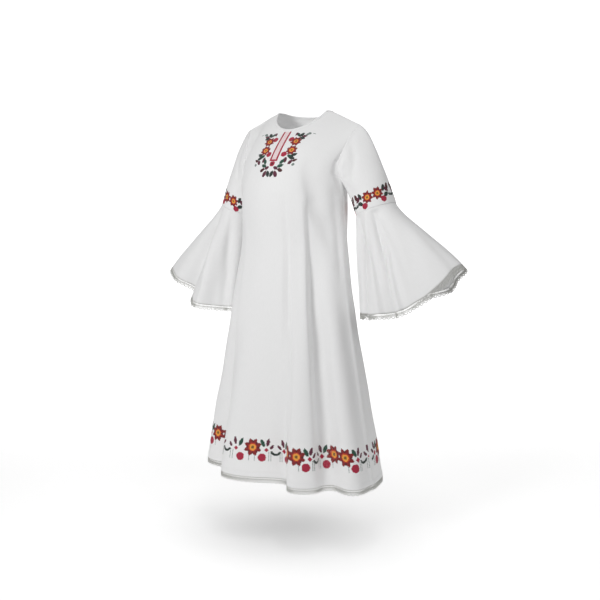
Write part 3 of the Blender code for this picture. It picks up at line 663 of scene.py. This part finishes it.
def cottonThread(name, hexColour, sheen=0.25, roughness=0.62, wear=0.08):
    material, tree, shader = newMaterial(name)
    place = addNode(tree, "ShaderNodeTexCoord")
    finish = threadFinish
    patches = addNode(tree, "ShaderNodeTexNoise", {"Scale": finish["patches"], "Detail": 2.0},
                      {"Vector": place.outputs["Object"]})
    base = np.array(linearColour(hexColour))[:3]
    mixColours(tree, shader, (*(base * (1 - wear)), 1), (*np.minimum(base * (1 + wear) + 0.01, 1), 1),
               patches.outputs["Fac"])
    strands = addNode(tree, "ShaderNodeTexWave", {"bands_direction": "DIAGONAL", "Scale": finish["strands"],
                                                  "Distortion": finish["wobble"]},
                      {"Vector": place.outputs["Object"]})
    addBump(tree, shader, finish["bump"], finish["bumpDepth"], strands.outputs["Fac"])
    shader.inputs["Roughness"].default_value = roughness
    shader.inputs["Sheen Weight"].default_value = sheen
    return material


wovenWhite = wovenCloth("bleached_plain_weave", clothFinish)
# the lace's white crochet cotton is coloured grey: painted shade for the shade that falls among its threads
laceThread = cottonThread("crochet_cotton", "#C2C2BE", sheen=0.1, roughness=0.75, wear=0.05)
sewingThread = cottonThread("white_sewing_thread", "#ECECEC", sheen=0.15, roughness=0.6, wear=0.03)
flossMaterials = [cottonThread("floss_" + name, colour) for name, colour in floss.items()]
print("materials made")


# Front and back panels
panels = {
    "front": {"side": -1, "columns": 280, "skirtRows": 84, "yokeRows": 42,
              "flat": (0.86, 1.07), "area": 0.66},
    "back": {"side": 1, "columns": 220, "skirtRows": 80, "yokeRows": 40,
             "flat": (0.86, 1.09), "area": 0.68},
}
fineHem = {"share": 0.03, "rows": 13}    # the lowest share of the skirt has its own close rows


def panelColumns(count):
    # even columns, moved so that neck, shoulder and armhole ends each fall on one
    half = count // 2
    spread = np.linspace(0, 1, half + 1)
    for mark in (neck["neckShare"], neck["tipShare"]):
        spread[np.argmin(np.abs(spread - mark))] = mark
    return np.concatenate([-spread[:0:-1], spread])


for name, panel in panels.items():
    columns = panelColumns(panel["columns"])
    rows = np.concatenate([np.linspace(0, fineHem["share"], fineHem["rows"]),
                           np.linspace(fineHem["share"], 1, panel["skirtRows"])[1:],
                           np.linspace(1, 2, panel["yokeRows"] + 1)[1:]])
    points, normal = panelSurface(panel["side"], columns[None, :], rows[:, None])
    piece = clothPiece("cloth_" + name, points, normal, wovenWhite)
    print(name, "square metres of cloth", gridArea(points))
    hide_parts(name)
print("front and back made")


# Sleeves and flounces
sleeveMesh = {"turns": 96, "rows": 60, "seamGap": 0.002, "flat": (0.42, 0.20), "area": 0.060}
flounceMesh = {"turns": 240, "rows": 70, "flat": (0.72, 0.60), "area": 0.19, "laceDepth": 0.018}


def flounceShare(arm, turn):
    # the cloth stops short of the rim by the lace's depth
    length = np.linalg.norm(flounceRim(arm, turn) - cuffRing(arm, turn), axis=-1)
    return 1 - flounceMesh["laceDepth"] / length


def tubePiece(kind, side, arm, turn, along):
    points, normal = tubeSurface(kind, arm, turn, along)
    name = kind + "_" + side
    piece = clothPiece("cloth_" + name, mirrored(points, arm), mirrored(normal, arm), wovenWhite, closed=True)
    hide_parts(name)
    return piece


for name, arm in arms.items():
    turn = np.linspace(0, 2 * np.pi, sleeveMesh["turns"], endpoint=False)[None, :]
    along = np.linspace(sleeveMesh["seamGap"], 1, sleeveMesh["rows"] + 1)[:, None]
    tubePiece("sleeve", name, arm, turn, along)
    turn = np.linspace(0, 2 * np.pi, flounceMesh["turns"], endpoint=False)[None, :]
    along = np.linspace(0, 1, flounceMesh["rows"] + 1)[:, None] * flounceShare(arm, turn)
    tubePiece("flounce", name, arm, turn, along)
print("sleeves and flounces made")


# Neck binding: a rounded strip carried round the neck
def neckLoop():
    # the neck's edge, front from right to left and then back; returns its points, the way the cloth
    # faces there and the way towards the hole
    shares = np.linspace(-neck["neckShare"], neck["neckShare"], neck["loopSteps"])
    loops = []
    walls = []
    for side in (-1, 1):
        across = shares if side < 0 else shares[::-1][1:-1]
        points, _, _ = panelForm(side, across, np.full_like(across, 2.0))
        inner, _, _ = panelForm(side, across, np.full_like(across, 1.97))
        tangent = np.gradient(points, axis=0)
        walls.append(facing(unit(np.cross(tangent, points - inner)), np.array([0.0, 0.0, 1.0])))
        loops.append(points)
    loop = np.concatenate(loops)
    corners = np.abs(np.abs(loop[:, 0]) - neck["halfWidth"]) < 0.0005
    loop[corners, 1] = 0.0
    wall = np.concatenate(walls)
    for _ in range(6):      # evens out the turn at the shoulder seams
        wall = unit(wall + np.roll(wall, 1, axis=0) + np.roll(wall, -1, axis=0))
    ahead = np.roll(loop, -1, axis=0) - np.roll(loop, 1, axis=0)
    inward = facing(unit(np.cross(ahead, wall)), np.array(neck["inside"]) - loop)
    return loop, wall, inward


def makeBinding():
    # cross-section: a flat oval, bindingWidth by bindingThick, with its outer edge on the cloth
    loop, wall, inward = neckLoop()
    angle = np.linspace(0, 2 * np.pi, neck["bindingSides"], endpoint=False)
    roundAcross, roundThrough = neck["bindingRound"]
    wide = neck["bindingWidth"] / 2 * (1 + np.sign(np.cos(angle)) * np.abs(np.cos(angle)) ** roundAcross)
    thick = neck["bindingThick"] / 2 * np.sign(np.sin(angle)) * np.abs(np.sin(angle)) ** roundThrough
    points = (loop[None] + wide[:, None, None] * inward[None]
              + (thick + neck["bindingLift"])[:, None, None] * wall[None])
    rows, columns = points.shape[:2]
    points = np.concatenate([points, points[:1]])
    faces = gridFaces(rows + 1, columns, closed=True)
    uvs = gridUvs(points, closed=True)
    faces = faces % (rows * columns)
    piece = meshPiece("cloth_neck_binding", points[:-1].reshape(-1, 3), faces, wovenWhite, uvs)
    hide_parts("neck_binding")
    return piece


binding = makeBinding()
print("neck binding made")


# Lace edging: cords and arches of crochet thread, laid out on a strip (u along, v down)
lace = {
    "pitch": 0.013, "hemDepth": 0.017, "cuffDepth": 0.018,
    "sides": 4, "flatness": 0.8,        # of each thread's cross-section
    "endGap": 0.0004,
}
# parts of one scallop: points as (share along, share down), then the thread's radius in metres
laceParts = (
    ("top cord", [(0, 0.05), (0.5, 0.05), (1, 0.05)], 0.0012),
    ("zigzag", [(0, 0.34), (0.25, 0.10), (0.5, 0.34), (0.75, 0.10), (1, 0.34)], 0.0009),
    ("lower cord", [(0, 0.38), (0.5, 0.38), (1, 0.38)], 0.0011),
    ("petal", [(0.22, 0.38), (0.10, 0.56), (0.14, 0.78), (0.31, 0.93), (0.5, 0.97),
               (0.69, 0.93), (0.86, 0.78), (0.90, 0.56), (0.78, 0.38)], 0.0014),
    ("stem", [(0.5, 0.38), (0.5, 0.70)], 0.0012),
    ("spoke", [(0.36, 0.40), (0.30, 0.84)], 0.0006),
    ("spoke", [(0.64, 0.40), (0.70, 0.84)], 0.0006),
)


def laceThreads(edge, fall, wall, depth, name):
    # each part's points are placed at (u, v) on the strip and given a four-sided thread round the
    # path; the whole strip's repeats are worked out at once
    steps = np.linalg.norm(np.diff(edge, axis=0), axis=1)
    distance = np.concatenate([[0.0], np.cumsum(steps)])
    length = distance[-1]
    repeats = int(round(length / lace["pitch"]))
    pitch = length / repeats

    def at(values, u):
        return np.stack([np.interp(u, distance, values[:, k]) for k in range(3)], axis=-1)

    vertices = []
    faces = []
    count = 0
    for _, path, radius in laceParts:
        path = np.array(path)
        n = len(path)
        u = (np.arange(repeats)[:, None] + path[None, :, 0]) * pitch
        u = np.clip(u, lace["endGap"], length - lace["endGap"])
        down = unit(at(fall, u))
        out = unit(at(wall, u))
        centre = at(edge, u) + (depth * path[None, :, 1])[..., None] * down
        tangent = unit(np.gradient(centre, axis=1))
        flat = unit(np.cross(out, tangent))
        angle = np.linspace(0, 2 * np.pi, lace["sides"], endpoint=False) + np.pi / 4
        ring = (centre[:, :, None, :] + radius * (np.cos(angle)[None, None, :, None] * flat[:, :, None, :]
                + lace["flatness"] * np.sin(angle)[None, None, :, None] * out[:, :, None, :]))
        k = lace["sides"]
        index = count + np.arange(repeats * n * k).reshape(repeats, n, k)
        right = np.roll(index, -1, axis=2)
        sides = np.stack([index[:, :-1], right[:, :-1], right[:, 1:], index[:, 1:]], axis=-1).reshape(-1, 4)
        caps = np.concatenate([index[:, 0, ::-1], index[:, -1]])
        faces.extend([sides, caps])
        vertices.append(ring.reshape(-1, 3))
        count += ring.size // 3
    piece = meshPiece(name, np.concatenate(vertices), np.concatenate(faces), laceThread)
    return piece, length


def panelEdge(side, steps=600):
    # the hem's edge from the right side seam to the left one
    across = np.linspace(-1, 1, steps)
    points, normal = panelSurface(side, across, np.zeros(steps))
    return points, np.tile([0.0, 0.0, -1.0], (steps, 1)), normal


def flounceEdge(arm, first, steps=500):
    # half of the flounce's edge, from its outer or inner side
    turn = first + np.linspace(0, np.pi, steps)
    share = flounceShare(arm, turn)
    edge, normal = tubeSurface("flounce", arm, turn, share)
    above, _ = tubeSurface("flounce", arm, turn, share - 0.02)
    return mirrored(edge, arm), mirrored(unit(edge - above), arm), mirrored(normal, arm)


for name, side in (("front", -1), ("back", 1)):
    edge, fall, wall = panelEdge(side)
    piece, length = laceThreads(edge, fall, wall, lace["hemDepth"], "lace_edging_hem_" + name)
    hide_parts("lace_hem_" + name)
for name, arm in arms.items():
    for half, first in (("front", 0.0), ("back", np.pi)):
        edge, fall, wall = flounceEdge(arm, first)
        cuff = "cuff_" + name + "_" + half
        piece, length = laceThreads(edge, fall, wall, lace["cuffDepth"], "lace_edging_" + cuff)
        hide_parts("lace_" + cuff)
print("lace made")


# Stitches: each is a ridge of thread with a four-cornered foot and a shorter crest
def ridges(centre, along, beside, normal, foot, crest):
    # corners: centre, plus or minus along and beside at the foot's height, and 75% of along on the crest
    base = centre + normal * foot
    top = centre + normal * crest
    return np.stack([base - along - beside, base - along + beside, base + along + beside,
                     base + along - beside, top - along * 0.75, top + along * 0.75], axis=-2)


def ridgeFaces(count):
    # two long sides of each ridge as two triangles, then its two ends
    first = np.arange(count)[:, None] * 6
    quads = np.concatenate([first + np.array([0, 3, 5, 4]), first + np.array([2, 1, 4, 5])])
    ends = np.concatenate([first + np.array([1, 0, 4]), first + np.array([3, 2, 5])])
    return np.concatenate([quads[:, [0, 1, 2]], ends, quads[:, [0, 2, 3]]])


# Machine stitching in white thread: one line of dashes along an edge
machine = {
    "length": 0.0025, "gap": 0.0009, "half": 0.00035, "foot": -0.0002, "crest": 0.0005,
    "aboveHem": 0.012, "insideEdge": 0.002, "overBinding": 0.0006,    # metres
    "aboveLace": 0.03,      # share of the flounce
    "steps": 900,
}


def stitchLine(name, line, wall, lift):
    # dashes are set at even distances along the line; their direction is the line's own
    distance = np.concatenate([[0.0], np.cumsum(np.linalg.norm(np.diff(line, axis=0), axis=1))])
    count = int(distance[-1] / (machine["length"] + machine["gap"]))
    at = (np.arange(count) + 0.5) / count * distance[-1]
    centre, out, ahead = (np.stack([np.interp(at, distance, values[:, k]) for k in range(3)], axis=-1)
                          for values in (line, wall, np.gradient(line, axis=0)))
    along = unit(ahead)
    beside = unit(np.cross(out, along)) * machine["half"]
    vertices = ridges(centre, along * machine["length"] / 2, beside, unit(out), lift + machine["foot"],
                      lift + machine["crest"])
    piece = meshPiece(name, vertices.reshape(-1, 3), ridgeFaces(count), sewingThread, smooth=False)
    return piece


lift = body["clothThick"] / 2
hemLine = machine["aboveHem"] / (body["chestZ"] - body["hemZ"])
for name, panel in panels.items():
    across = np.linspace(-0.995, 0.995, machine["steps"])
    line, wall = panelSurface(panel["side"], across, np.full_like(across, hemLine))
    stitchLine("hem_stitching_" + name, line, wall, lift)
for name, arm in arms.items():
    turn = np.linspace(0, 2 * np.pi, machine["steps"])
    line, wall = tubeSurface("flounce", arm, turn, flounceShare(arm, turn) - machine["aboveLace"])
    stitchLine("flounce_stitching_" + name, mirrored(line, arm),
                                               mirrored(wall, arm), lift)
loop, wall, inward = neckLoop()
stitchLine("neck_stitching", loop + inward * machine["insideEdge"], wall,
                                neck["bindingThick"] / 2 + machine["overBinding"])
print("machine stitching made")


# Cross stitch: motifs are drawn by formula on a grid of stitches, in millimetres

def insideFlower(x, y, size):
    # eight pointed petals: q is 0 in a notch and 1 at a tip, and the edge swings from 70% to 100% of the
    # radius with it; darker red in the notches is painted shade between the petals, then a ring, a centre and
    # its eye
    r = np.hypot(x, y) / size
    q = 1 - np.abs(((np.arctan2(x, y) * 8 / (2 * np.pi)) % 1) * 2 - 1)
    petals = r < 0.70 + 0.30 * q
    # the dark red where the petals meet is painted shade between them
    return [(petals, "deepRed"), (petals & (q < 0.2) & (r > 0.42), "darkRed"),
            (r < 0.45 + 0.06 * q, "orangeRed"), (r < 0.36, "yellow"), (r < 0.17, "olive")]


def insideLeaf(x, y, size, colour, wide=0.21):
    # a pointed oval as long as size along y, its half width a share of that
    t = np.clip(2 * y / size, -1, 1)
    return [((np.abs(y) < size / 2) & (np.abs(x) < wide * size * (1 - t**2) ** 0.8), colour)]


def insideRound(x, y, size, colour):
    return [(x * x + y * y < size * size, colour)]


def insideDiamond(x, y, size, colour):
    return [(np.abs(x) + np.abs(y) < size, colour)]


def insideBowl(x, y, size, colour):
    # the lower half of an oval ring: 0.8 as deep as its half width, open to 62% of that
    outer = (x / size) ** 2 + (y / (0.80 * size)) ** 2 < 1
    inner = (x / (0.62 * size)) ** 2 + (y / (0.42 * size)) ** 2 < 1
    return [(outer & ~inner & (y < 0), colour)]


def insideBar(x, y, size, colour, width=1.7):
    return [((np.abs(x) < width) & (np.abs(y) < size / 2), colour)]


def insideDashes(x, y, size, colour, pitch):
    # one column of stitches, every second one left out
    return [((np.abs(x) < pitch / 2) & (np.abs(y) < size / 2) & (np.floor(y / pitch) % 2 == 0), colour)]


# Half sizes of a stitch as shares of the pitch, and heights over the cloth in metres; the second
# thread crosses over the first
crossStitch = {"reach": 0.55, "wide": 0.37, "foot": -0.0003, "crest": 0.00042, "over": 0.0002}


def motifColours(motifs, x, y):
    # number of the floss of each stitch, or -1 for bare cloth; later motifs lie over earlier ones
    colours = np.full(x.shape, -1)
    for kind, centreX, centreY, size, turn, *rest in motifs:
        c, s = np.cos(np.radians(turn)), np.sin(np.radians(turn))
        dx, dy = x - centreX, y - centreY
        for mask, colour in kind(c * dx + s * dy, -s * dx + c * dy, size, *rest):
            colours = np.where(mask, flossNames.index(colour), colours)
    return colours


def stitchPiece(name, place, xs, ys, motifs, pitch):
    # each stitch is two crossing ridges of thread, with 6 triangles each, laid on the cloth's surface;
    # right and upper are how far the place moves for one millimetre on the grid
    gridX, gridY = np.meshgrid(xs, ys)
    colours = motifColours(motifs, gridX, gridY)
    used = colours >= 0
    x, y, colour = gridX[used], gridY[used], colours[used]
    step = 0.5
    centre, normal = place(x, y)
    right = (place(x + step, y)[0] - place(x - step, y)[0]) / (2 * step)
    upper = (place(x, y + step)[0] - place(x, y - step)[0]) / (2 * step)
    reach, wide = crossStitch["reach"] * pitch, crossStitch["wide"] * pitch
    foot, crest = (body["clothThick"] / 2 + crossStitch[part] for part in ("foot", "crest"))
    vertices = []
    for k, (wayX, wayY) in enumerate(((1, 1), (-1, 1))):
        along = right * wayX + upper * wayY
        beside = right * -wayY + upper * wayX
        high = crest + crossStitch["over"] * k
        vertices.append(ridges(centre, along * reach, beside * wide, normal, foot, high))
    vertices = np.stack(vertices, axis=1)
    slots = np.tile(np.repeat(colour, 2), 6)
    piece = meshPiece(name, vertices.reshape(-1, 3), ridgeFaces(len(x) * 2), flossMaterials, slots=slots,
                      smooth=False)
    print(name, len(x), "stitches")
    return piece


# Hem border: flowers at these places along the hem, in mm from the front or back centre, at
# these heights above the lace, with a spray between flowers that stand apart
hemBorder = {
    "pitch": 2.1, "flowerHeight": 89, "flowerRadius": 27, "apart": 80,
    "front": (-250, -204, -28, 111, 157, 287, 333),
    "back": (-333, -287, -157, -111, 0, 111, 157, 287, 333),
    "roundRadius": 11.75, "outerLeaf": 26, "innerLeaf": 24, "garlandLeaf": 18, "bud": 7, "bowl": 16,
    "dashPlaces": (13, 19, 58), "dashLength": 30,
    "spray": 65,            # half the gap that the places in a spray are written for
    "lineHeight": 75,       # where the hem's length is measured
    "rows": (20, 62),       # lowest and highest row of stitches, counted from the lace
}


def sprayMotifs(middle, half, height):
    # between two flowers: a round below each with dashes beside it, a green and a maroon leaf on a
    # bud, and in the middle a garland of two leaves over a bowl; the same on both sides
    h = hemBorder
    s = half / h["spray"]
    motifs = [(insideBowl, middle, height - 10, h["bowl"], 0, "darkGreen")]
    for k in (-1, 1):
        motifs += [(insideDashes, middle + k * x * s, height - 27, h["dashLength"], 0, "greyGreen",
                    h["pitch"]) for x in h["dashPlaces"]]
        motifs += [
            (insideRound, middle + k * 38 * s, height - 30, h["roundRadius"], 0, "crimson"),
            (insideLeaf, middle + k * 37 * s, height + 13, h["outerLeaf"], k * -25, "green"),
            (insideLeaf, middle + k * 22 * s, height + 15, h["innerLeaf"], k * 15, "maroon"),
            (insideDiamond, middle + k * 26 * s, height - 7, h["bud"], 0, "crimson"),
            (insideLeaf, middle + k * 11 * s, height + 2, h["garlandLeaf"], k * 40, "maroon"),
        ]
    return motifs


def hemMotifs(places):
    h = hemBorder
    motifs = []
    for left, right in zip(places[:-1], places[1:]):
        if right - left > h["apart"]:
            motifs += sprayMotifs((left + right) / 2, (right - left) / 2, h["flowerHeight"])
    for middle in (places[-1] + h["spray"], places[0] - h["spray"]):
        motifs += sprayMotifs(middle, h["spray"], h["flowerHeight"])
    motifs += [(insideFlower, place, h["flowerHeight"], h["flowerRadius"], 0) for place in places]
    return motifs


def hemPlacer(side):
    # finds the cloth's point at x mm along the hem's border line and y mm above the lace
    across = np.linspace(-1, 1, 1601)
    borderUp = hemBorder["lineHeight"] / 1000 / (body["chestZ"] - body["hemZ"])
    line, _ = panelSurface(side, across, np.full_like(across, borderUp))
    length = np.concatenate([[0.0], np.cumsum(np.linalg.norm(np.diff(line, axis=0), axis=1))]) * 1000
    length -= np.interp(0.0, across, length)

    def place(x, y):
        share = np.interp(x, length, across)
        up = y / 1000 / (body["chestZ"] - body["hemZ"])
        return panelSurface(side, share, up)

    return place, length[0], length[-1]


for name, side in (("front", -1), ("back", 1)):
    place, low, high = hemPlacer(side)
    pitch = hemBorder["pitch"]
    xs = np.arange(np.ceil((low + 3) / pitch), np.floor((high - 3) / pitch)) * pitch
    ys = np.arange(*hemBorder["rows"]) * pitch
    stitchPiece(
        "cross_stitch_hem_" + name, place, xs, ys, hemMotifs(hemBorder[name]), pitch)


# Neck motif, in mm sideways from the centre line and mm down from the neck's edge
neckMotif = {
    "pitch": 1.7, "flower": 17.5, "round": 8.5, "placketHalf": 10, "placketLength": 112, "leafWide": 0.27,
    "columns": (-56, 57), "rows": (-98, -1),
    # leaves beside the centre line: x, y, length, turn, colour
    "leaves": (
        (43, -16, 15, 30, "green"), (54, -17, 20, -40, "darkGreen"), (64, -23, 20, -60, "maroon"),
        (60, -30, 18, -105, "darkGreen"), (36, -14, 13, -10, "maroon"), (72, -14, 15, -50, "greyGreen"),
        (58, -93, 19, -65, "darkGreen"), (47, -98, 18, 65, "green"), (55, -104, 19, 65, "darkGreen"),
        (37, -110, 19, 10, "maroon"), (54, -118, 18, -30, "maroon"), (66, -112, 14, -60, "darkRed"),
        (29, -116, 19, -35, "green"), (27, -130, 20, -65, "green"), (15, -137, 17, -115, "maroon"),
        (30, -143, 19, -115, "darkRed"), (18, -155, 21, 25, "maroon"), (6, -155, 20, -20, "darkGreen"),
    ),
}


def neckMotifs():
    m = neckMotif
    long = m["placketLength"]
    motifs = [(insideBar, 0, -long / 2, long, 0, "pale", 9), (insideBar, 0, -long, 24, 90, "crimson", 2.2)]
    for k in (-1, 1):
        motifs += [(insideBar, k * m["placketHalf"], -long / 2, long, 0, "crimson", 2.2)]
        motifs += [(insideLeaf, k * x, y, size, k * turn, colour, m["leafWide"])
                   for x, y, size, turn, colour in m["leaves"]]
        motifs += [
            (insideRound, k * 28, -35, m["round"], 0, "crimson"),
            (insideRound, k * 26, -91, m["round"], 0, "crimson"),
            (insideRound, k * 76, -10, 4.5, 0, "greyGreen"), (insideRound, k * 65, -126, 4, 0, "greyGreen"),
            (insideBar, k * 90, -8, 8, 90, "greyGreen", 0.9),
            (insideFlower, k * 46, -43, m["flower"], 0), (insideFlower, k * 45, -76, m["flower"], 0),
        ]
    motifs += [(insideRound, 0, -124, m["round"], 0, "crimson"), (insideDiamond, 0, -124, 4, 0, "darkRed")]
    return motifs


def neckPlacer():
    # finds the front's point at x mm from the centre line and y mm up from the neck's edge
    rise = np.linspace(0, 1, 1201)
    line = yokeForm(-1, np.zeros_like(rise), rise)
    length = np.concatenate([[0.0], np.cumsum(np.linalg.norm(np.diff(line, axis=0), axis=1))]) * 1000
    _, topRise = topPlace(-1, np.zeros(1))
    edge = np.interp(topRise[0], rise, length)

    def place(x, y):
        # the yoke's own share and rise, turned back into the panel's across and up by a few tries
        wantRise = np.interp(edge + y, length, rise)
        wantAcross = acrossAt(x / 1000, wantRise)
        across = wantAcross
        for _ in range(12):
            topAcross, topRise = topPlace(-1, across)
            t = np.clip(wantRise / topRise, 0, 1)
            across = across + 0.8 * (wantAcross - (across + (topAcross - across) * t))
        t = np.clip(wantRise / topPlace(-1, across)[1], 0, 1)
        return panelSurface(-1, across, 1 + 2 / np.pi * np.arcsin(t))

    return place


pitch = neckMotif["pitch"]
stitchPiece(
    "cross_stitch_neck", neckPlacer(), np.arange(*neckMotif["columns"]) * pitch,
    np.arange(*neckMotif["rows"]) * pitch, neckMotifs(), pitch)


# Sleeve bands, in mm round the sleeve from its outer side and mm above the flounce's seam
band = {
    "pitch": 1.7, "pairs": 3, "half": 15.5, "flower": 17, "height": 31, "rise": 6, "round": 8.5,
    "leaf": 19, "leafWide": 0.27,
    # leaves beside a pair of flowers: x, y, turn, colour
    "leaves": ((37, 10, -25, "darkGreen"), (46, 5, 50, "maroon"), (41, -8, -60, "darkGreen"),
               (52, 12, -20, "darkRed")),
    "rows": (-17, 15),
    "slopeHeight": 40.0,    # the sleeve's length is measured from the seam up to here
}


def bandMotifs(arm):
    girth = 2 * np.pi * arm["cuffRadius"] * 1000
    motifs = []
    for pair in range(-1, band["pairs"] + 1):
        middle = arm["bandMiddle"] + pair * girth / band["pairs"]
        for k in (-1, 1):
            motifs += [(insideRound, middle + k * 29, -19, band["round"], 0, "crimson")]
            motifs += [(insideLeaf, middle + k * x, y, band["leaf"], k * turn, colour, band["leafWide"])
                       for x, y, turn, colour in band["leaves"]]
            motifs += [(insideBowl, middle + k * 58, -6, 9, 0, "darkGreen")]
        motifs += [(insideFlower, middle + k * band["half"], 0, band["flower"], 0) for k in (-1, 1)]
    return motifs


def bandPlacer(arm):
    # finds the sleeve's point at x mm round it and y mm above the band's middle line, which
    # rises a little towards the outer side
    turns = np.linspace(0, 2 * np.pi, 181)
    alongs = np.linspace(0, 1, 201)
    form = sleeveForm(arm, *np.broadcast_arrays(turns[None, :], alongs[:, None]))
    toSeam = np.linalg.norm(np.diff(form, axis=0), axis=-1)
    toSeam = np.concatenate([np.cumsum(toSeam[::-1], axis=0)[::-1], np.zeros((1, len(turns)))]) * 1000
    slopeAt = np.array([np.interp(band["slopeHeight"], column[::-1], alongs[::-1]) for column in toSeam.T])

    def place(x, y):
        turn = x / 1000 / arm["cuffRadius"]
        high = band["height"] + band["rise"] * np.cos(turn) + y
        share = np.interp(np.mod(turn, 2 * np.pi), turns, slopeAt)
        along = 1 - (1 - share) * high / band["slopeHeight"]
        points, normal = tubeSurface("sleeve", arm, turn, along)
        return mirrored(points, arm), mirrored(normal, arm)

    return place


for name, arm in arms.items():
    girth = 2 * np.pi * arm["cuffRadius"] * 1000
    count = int(girth / band["pitch"])
    pitch = girth / count
    stitchPiece(
        "cross_stitch_sleeve_" + name, bandPlacer(arm), np.arange(count) * pitch,
        np.arange(*band["rows"]) * pitch, bandMotifs(arm), pitch)
print("embroidery made")


# Room: a white sweep of paper, cut as a fan, that curves up behind the shirt; lit from the front
room = {
    "floorZ": -1.28, "near": -0.65, "far": 3.2, "curve": 1.8, "top": 4.5,
    "widen": 0.37, "spare": 0.12,                        # half width: a share of the way from the camera
    "paper": 0.91, "world": 0.36, "glow": 0.46,
    "wallGlow": 0.40, "wallStart": 0.3, "wallFull": 2.6,
    # the last line: how deep, how far and where a painted shadow dims the paper's glow below the shirt
    "shade": 0.80, "paintedShadowReach": (0.21, 0.15), "paintedShadowMiddle": (-0.03, 0.0),
}
# lights: place, size, watts, what each is aimed at, spread in degrees
lights = {
    "key": ((-0.47, -2.96, 0.15), 0.9, 8.0, (0, 0, -0.22), 80),
    "fill": ((2.5, -0.9, 0.6), 0.9, 9, (0, 0, -0.55), 180),
    "inner": ((0.0, -0.04, -0.30), 0.12, 0.11, (-0.03, 0.02, 0.2), 180),
    "overhead": ((0.9, -0.9, 1.7), 0.6, 6, (0, -0.1, -1), 180),
}


def areaLight(name, place, size, energy, aim, spread):
    light = bpy.data.lights.new(name, "AREA")
    light.shape = "DISK"
    light.size = size
    light.energy = energy
    light.spread = np.radians(spread)
    lightObject = bpy.data.objects.new(name, light)
    lightObject.location = place
    lightObject.rotation_euler = (Vector(aim) - Vector(place)).to_track_quat("-Z", "Y").to_euler()
    bpy.context.scene.collection.objects.link(lightObject)


def studioWhite(name):
    # matt white paper; a glow lifts it to the white of the picture's edges. It rises with the distance
    # past the shirt along the camera's view, and falls by a bell-shaped share of itself below the
    # shirt: a painted shadow, standing in for the studio's light that the shirt holds back there
    material, tree, shader = newMaterial(name)
    place = addNode(tree, "ShaderNodeTexCoord")
    shader.inputs["Base Color"].default_value = (room["paper"], room["paper"], room["paper"], 1)
    shader.inputs["Roughness"].default_value = 0.9
    shader.inputs["Emission Color"].default_value = (1, 1, 1, 1)
    angle = np.radians(camera["azimuth"])

    def distance(way):
        along = addNode(tree, "ShaderNodeVectorMath", {"operation": "DOT_PRODUCT"})
        tree.links.new(place.outputs["Object"], along.inputs[0])
        along.inputs[1].default_value = way
        return along.outputs["Value"]

    def combine(operation, first, second):
        node = addNode(tree, "ShaderNodeMath", {"operation": operation})
        for socket, value in zip(node.inputs, (first, second)):
            if isinstance(value, float):
                socket.default_value = value
            else:
                tree.links.new(value, socket)
        return node.outputs["Value"]

    past = distance((-np.sin(angle), np.cos(angle), 0))
    beside = distance((np.cos(angle), np.sin(angle), 0))
    squares = []
    # painted shadow: a soft oval below the shirt where the glow is dimmed
    for value, middle, reach in zip((beside, past), room["paintedShadowMiddle"], room["paintedShadowReach"]):
        share = combine("DIVIDE", combine("SUBTRACT", value, middle), reach)
        squares.append(combine("MULTIPLY", share, share))
    shade = combine("POWER", float(np.exp(-0.5)), combine("ADD", *squares))
    lit = combine("SUBTRACT", 1.0, combine("MULTIPLY", shade, room["shade"]))
    wallRise = {"interpolation_type": "SMOOTHSTEP", "From Min": room["wallStart"],
                "From Max": room["wallFull"], "To Max": room["wallGlow"]}
    wall = addNode(tree, "ShaderNodeMapRange", wallRise, {"Value": past})
    glow = combine("MULTIPLY", combine("ADD", wall.outputs["Result"], room["glow"]), lit)
    tree.links.new(glow, shader.inputs["Emission Strength"])
    return material


def makeRoom():
    # the sweep's profile runs level, round a quarter circle and up, square to the camera's view
    bend = np.radians(np.linspace(0, 90, 13))
    away = np.concatenate([[room["near"]], room["far"] + room["curve"] * np.sin(bend),
                           [room["far"] + room["curve"]]])
    high = np.concatenate([[0.0], room["curve"] * (1 - np.cos(bend)), [room["top"]]]) + room["floorZ"]
    angle = np.radians(camera["azimuth"])
    ahead = np.array([-np.sin(angle), np.cos(angle), 0.0])
    aside = np.array([np.cos(angle), np.sin(angle), 0.0])
    half = room["widen"] * (away + camera["distance"]) + room["spare"]
    points = (away[:, None, None] * ahead + high[:, None, None] * np.array([0.0, 0.0, 1.0])
              + (half[:, None] * np.array([-1.0, 1.0]))[..., None] * aside)
    mesh = bpy.data.meshes.new("sweep")
    mesh.from_pydata(points.reshape(-1, 3).tolist(), [], gridFaces(len(away), 2).tolist())
    mesh.polygons.foreach_set("use_smooth", [True] * len(mesh.polygons))
    mesh.materials.append(studioWhite("white_paper_sweep"))
    sweep = bpy.data.objects.new("sweep", mesh)
    bpy.context.scene.collection.objects.link(sweep)
    world = bpy.data.worlds.new("studio")
    world.use_nodes = True
    background = world.node_tree.nodes["Background"]
    background.inputs["Color"].default_value = (1, 1, 1, 1)
    background.inputs["Strength"].default_value = room["world"]
    bpy.context.scene.world = world
    for name, light in lights.items():
        areaLight(name, *light)
    bpy.context.scene.view_settings.view_transform = "Standard"


makeRoom()
print("room made")
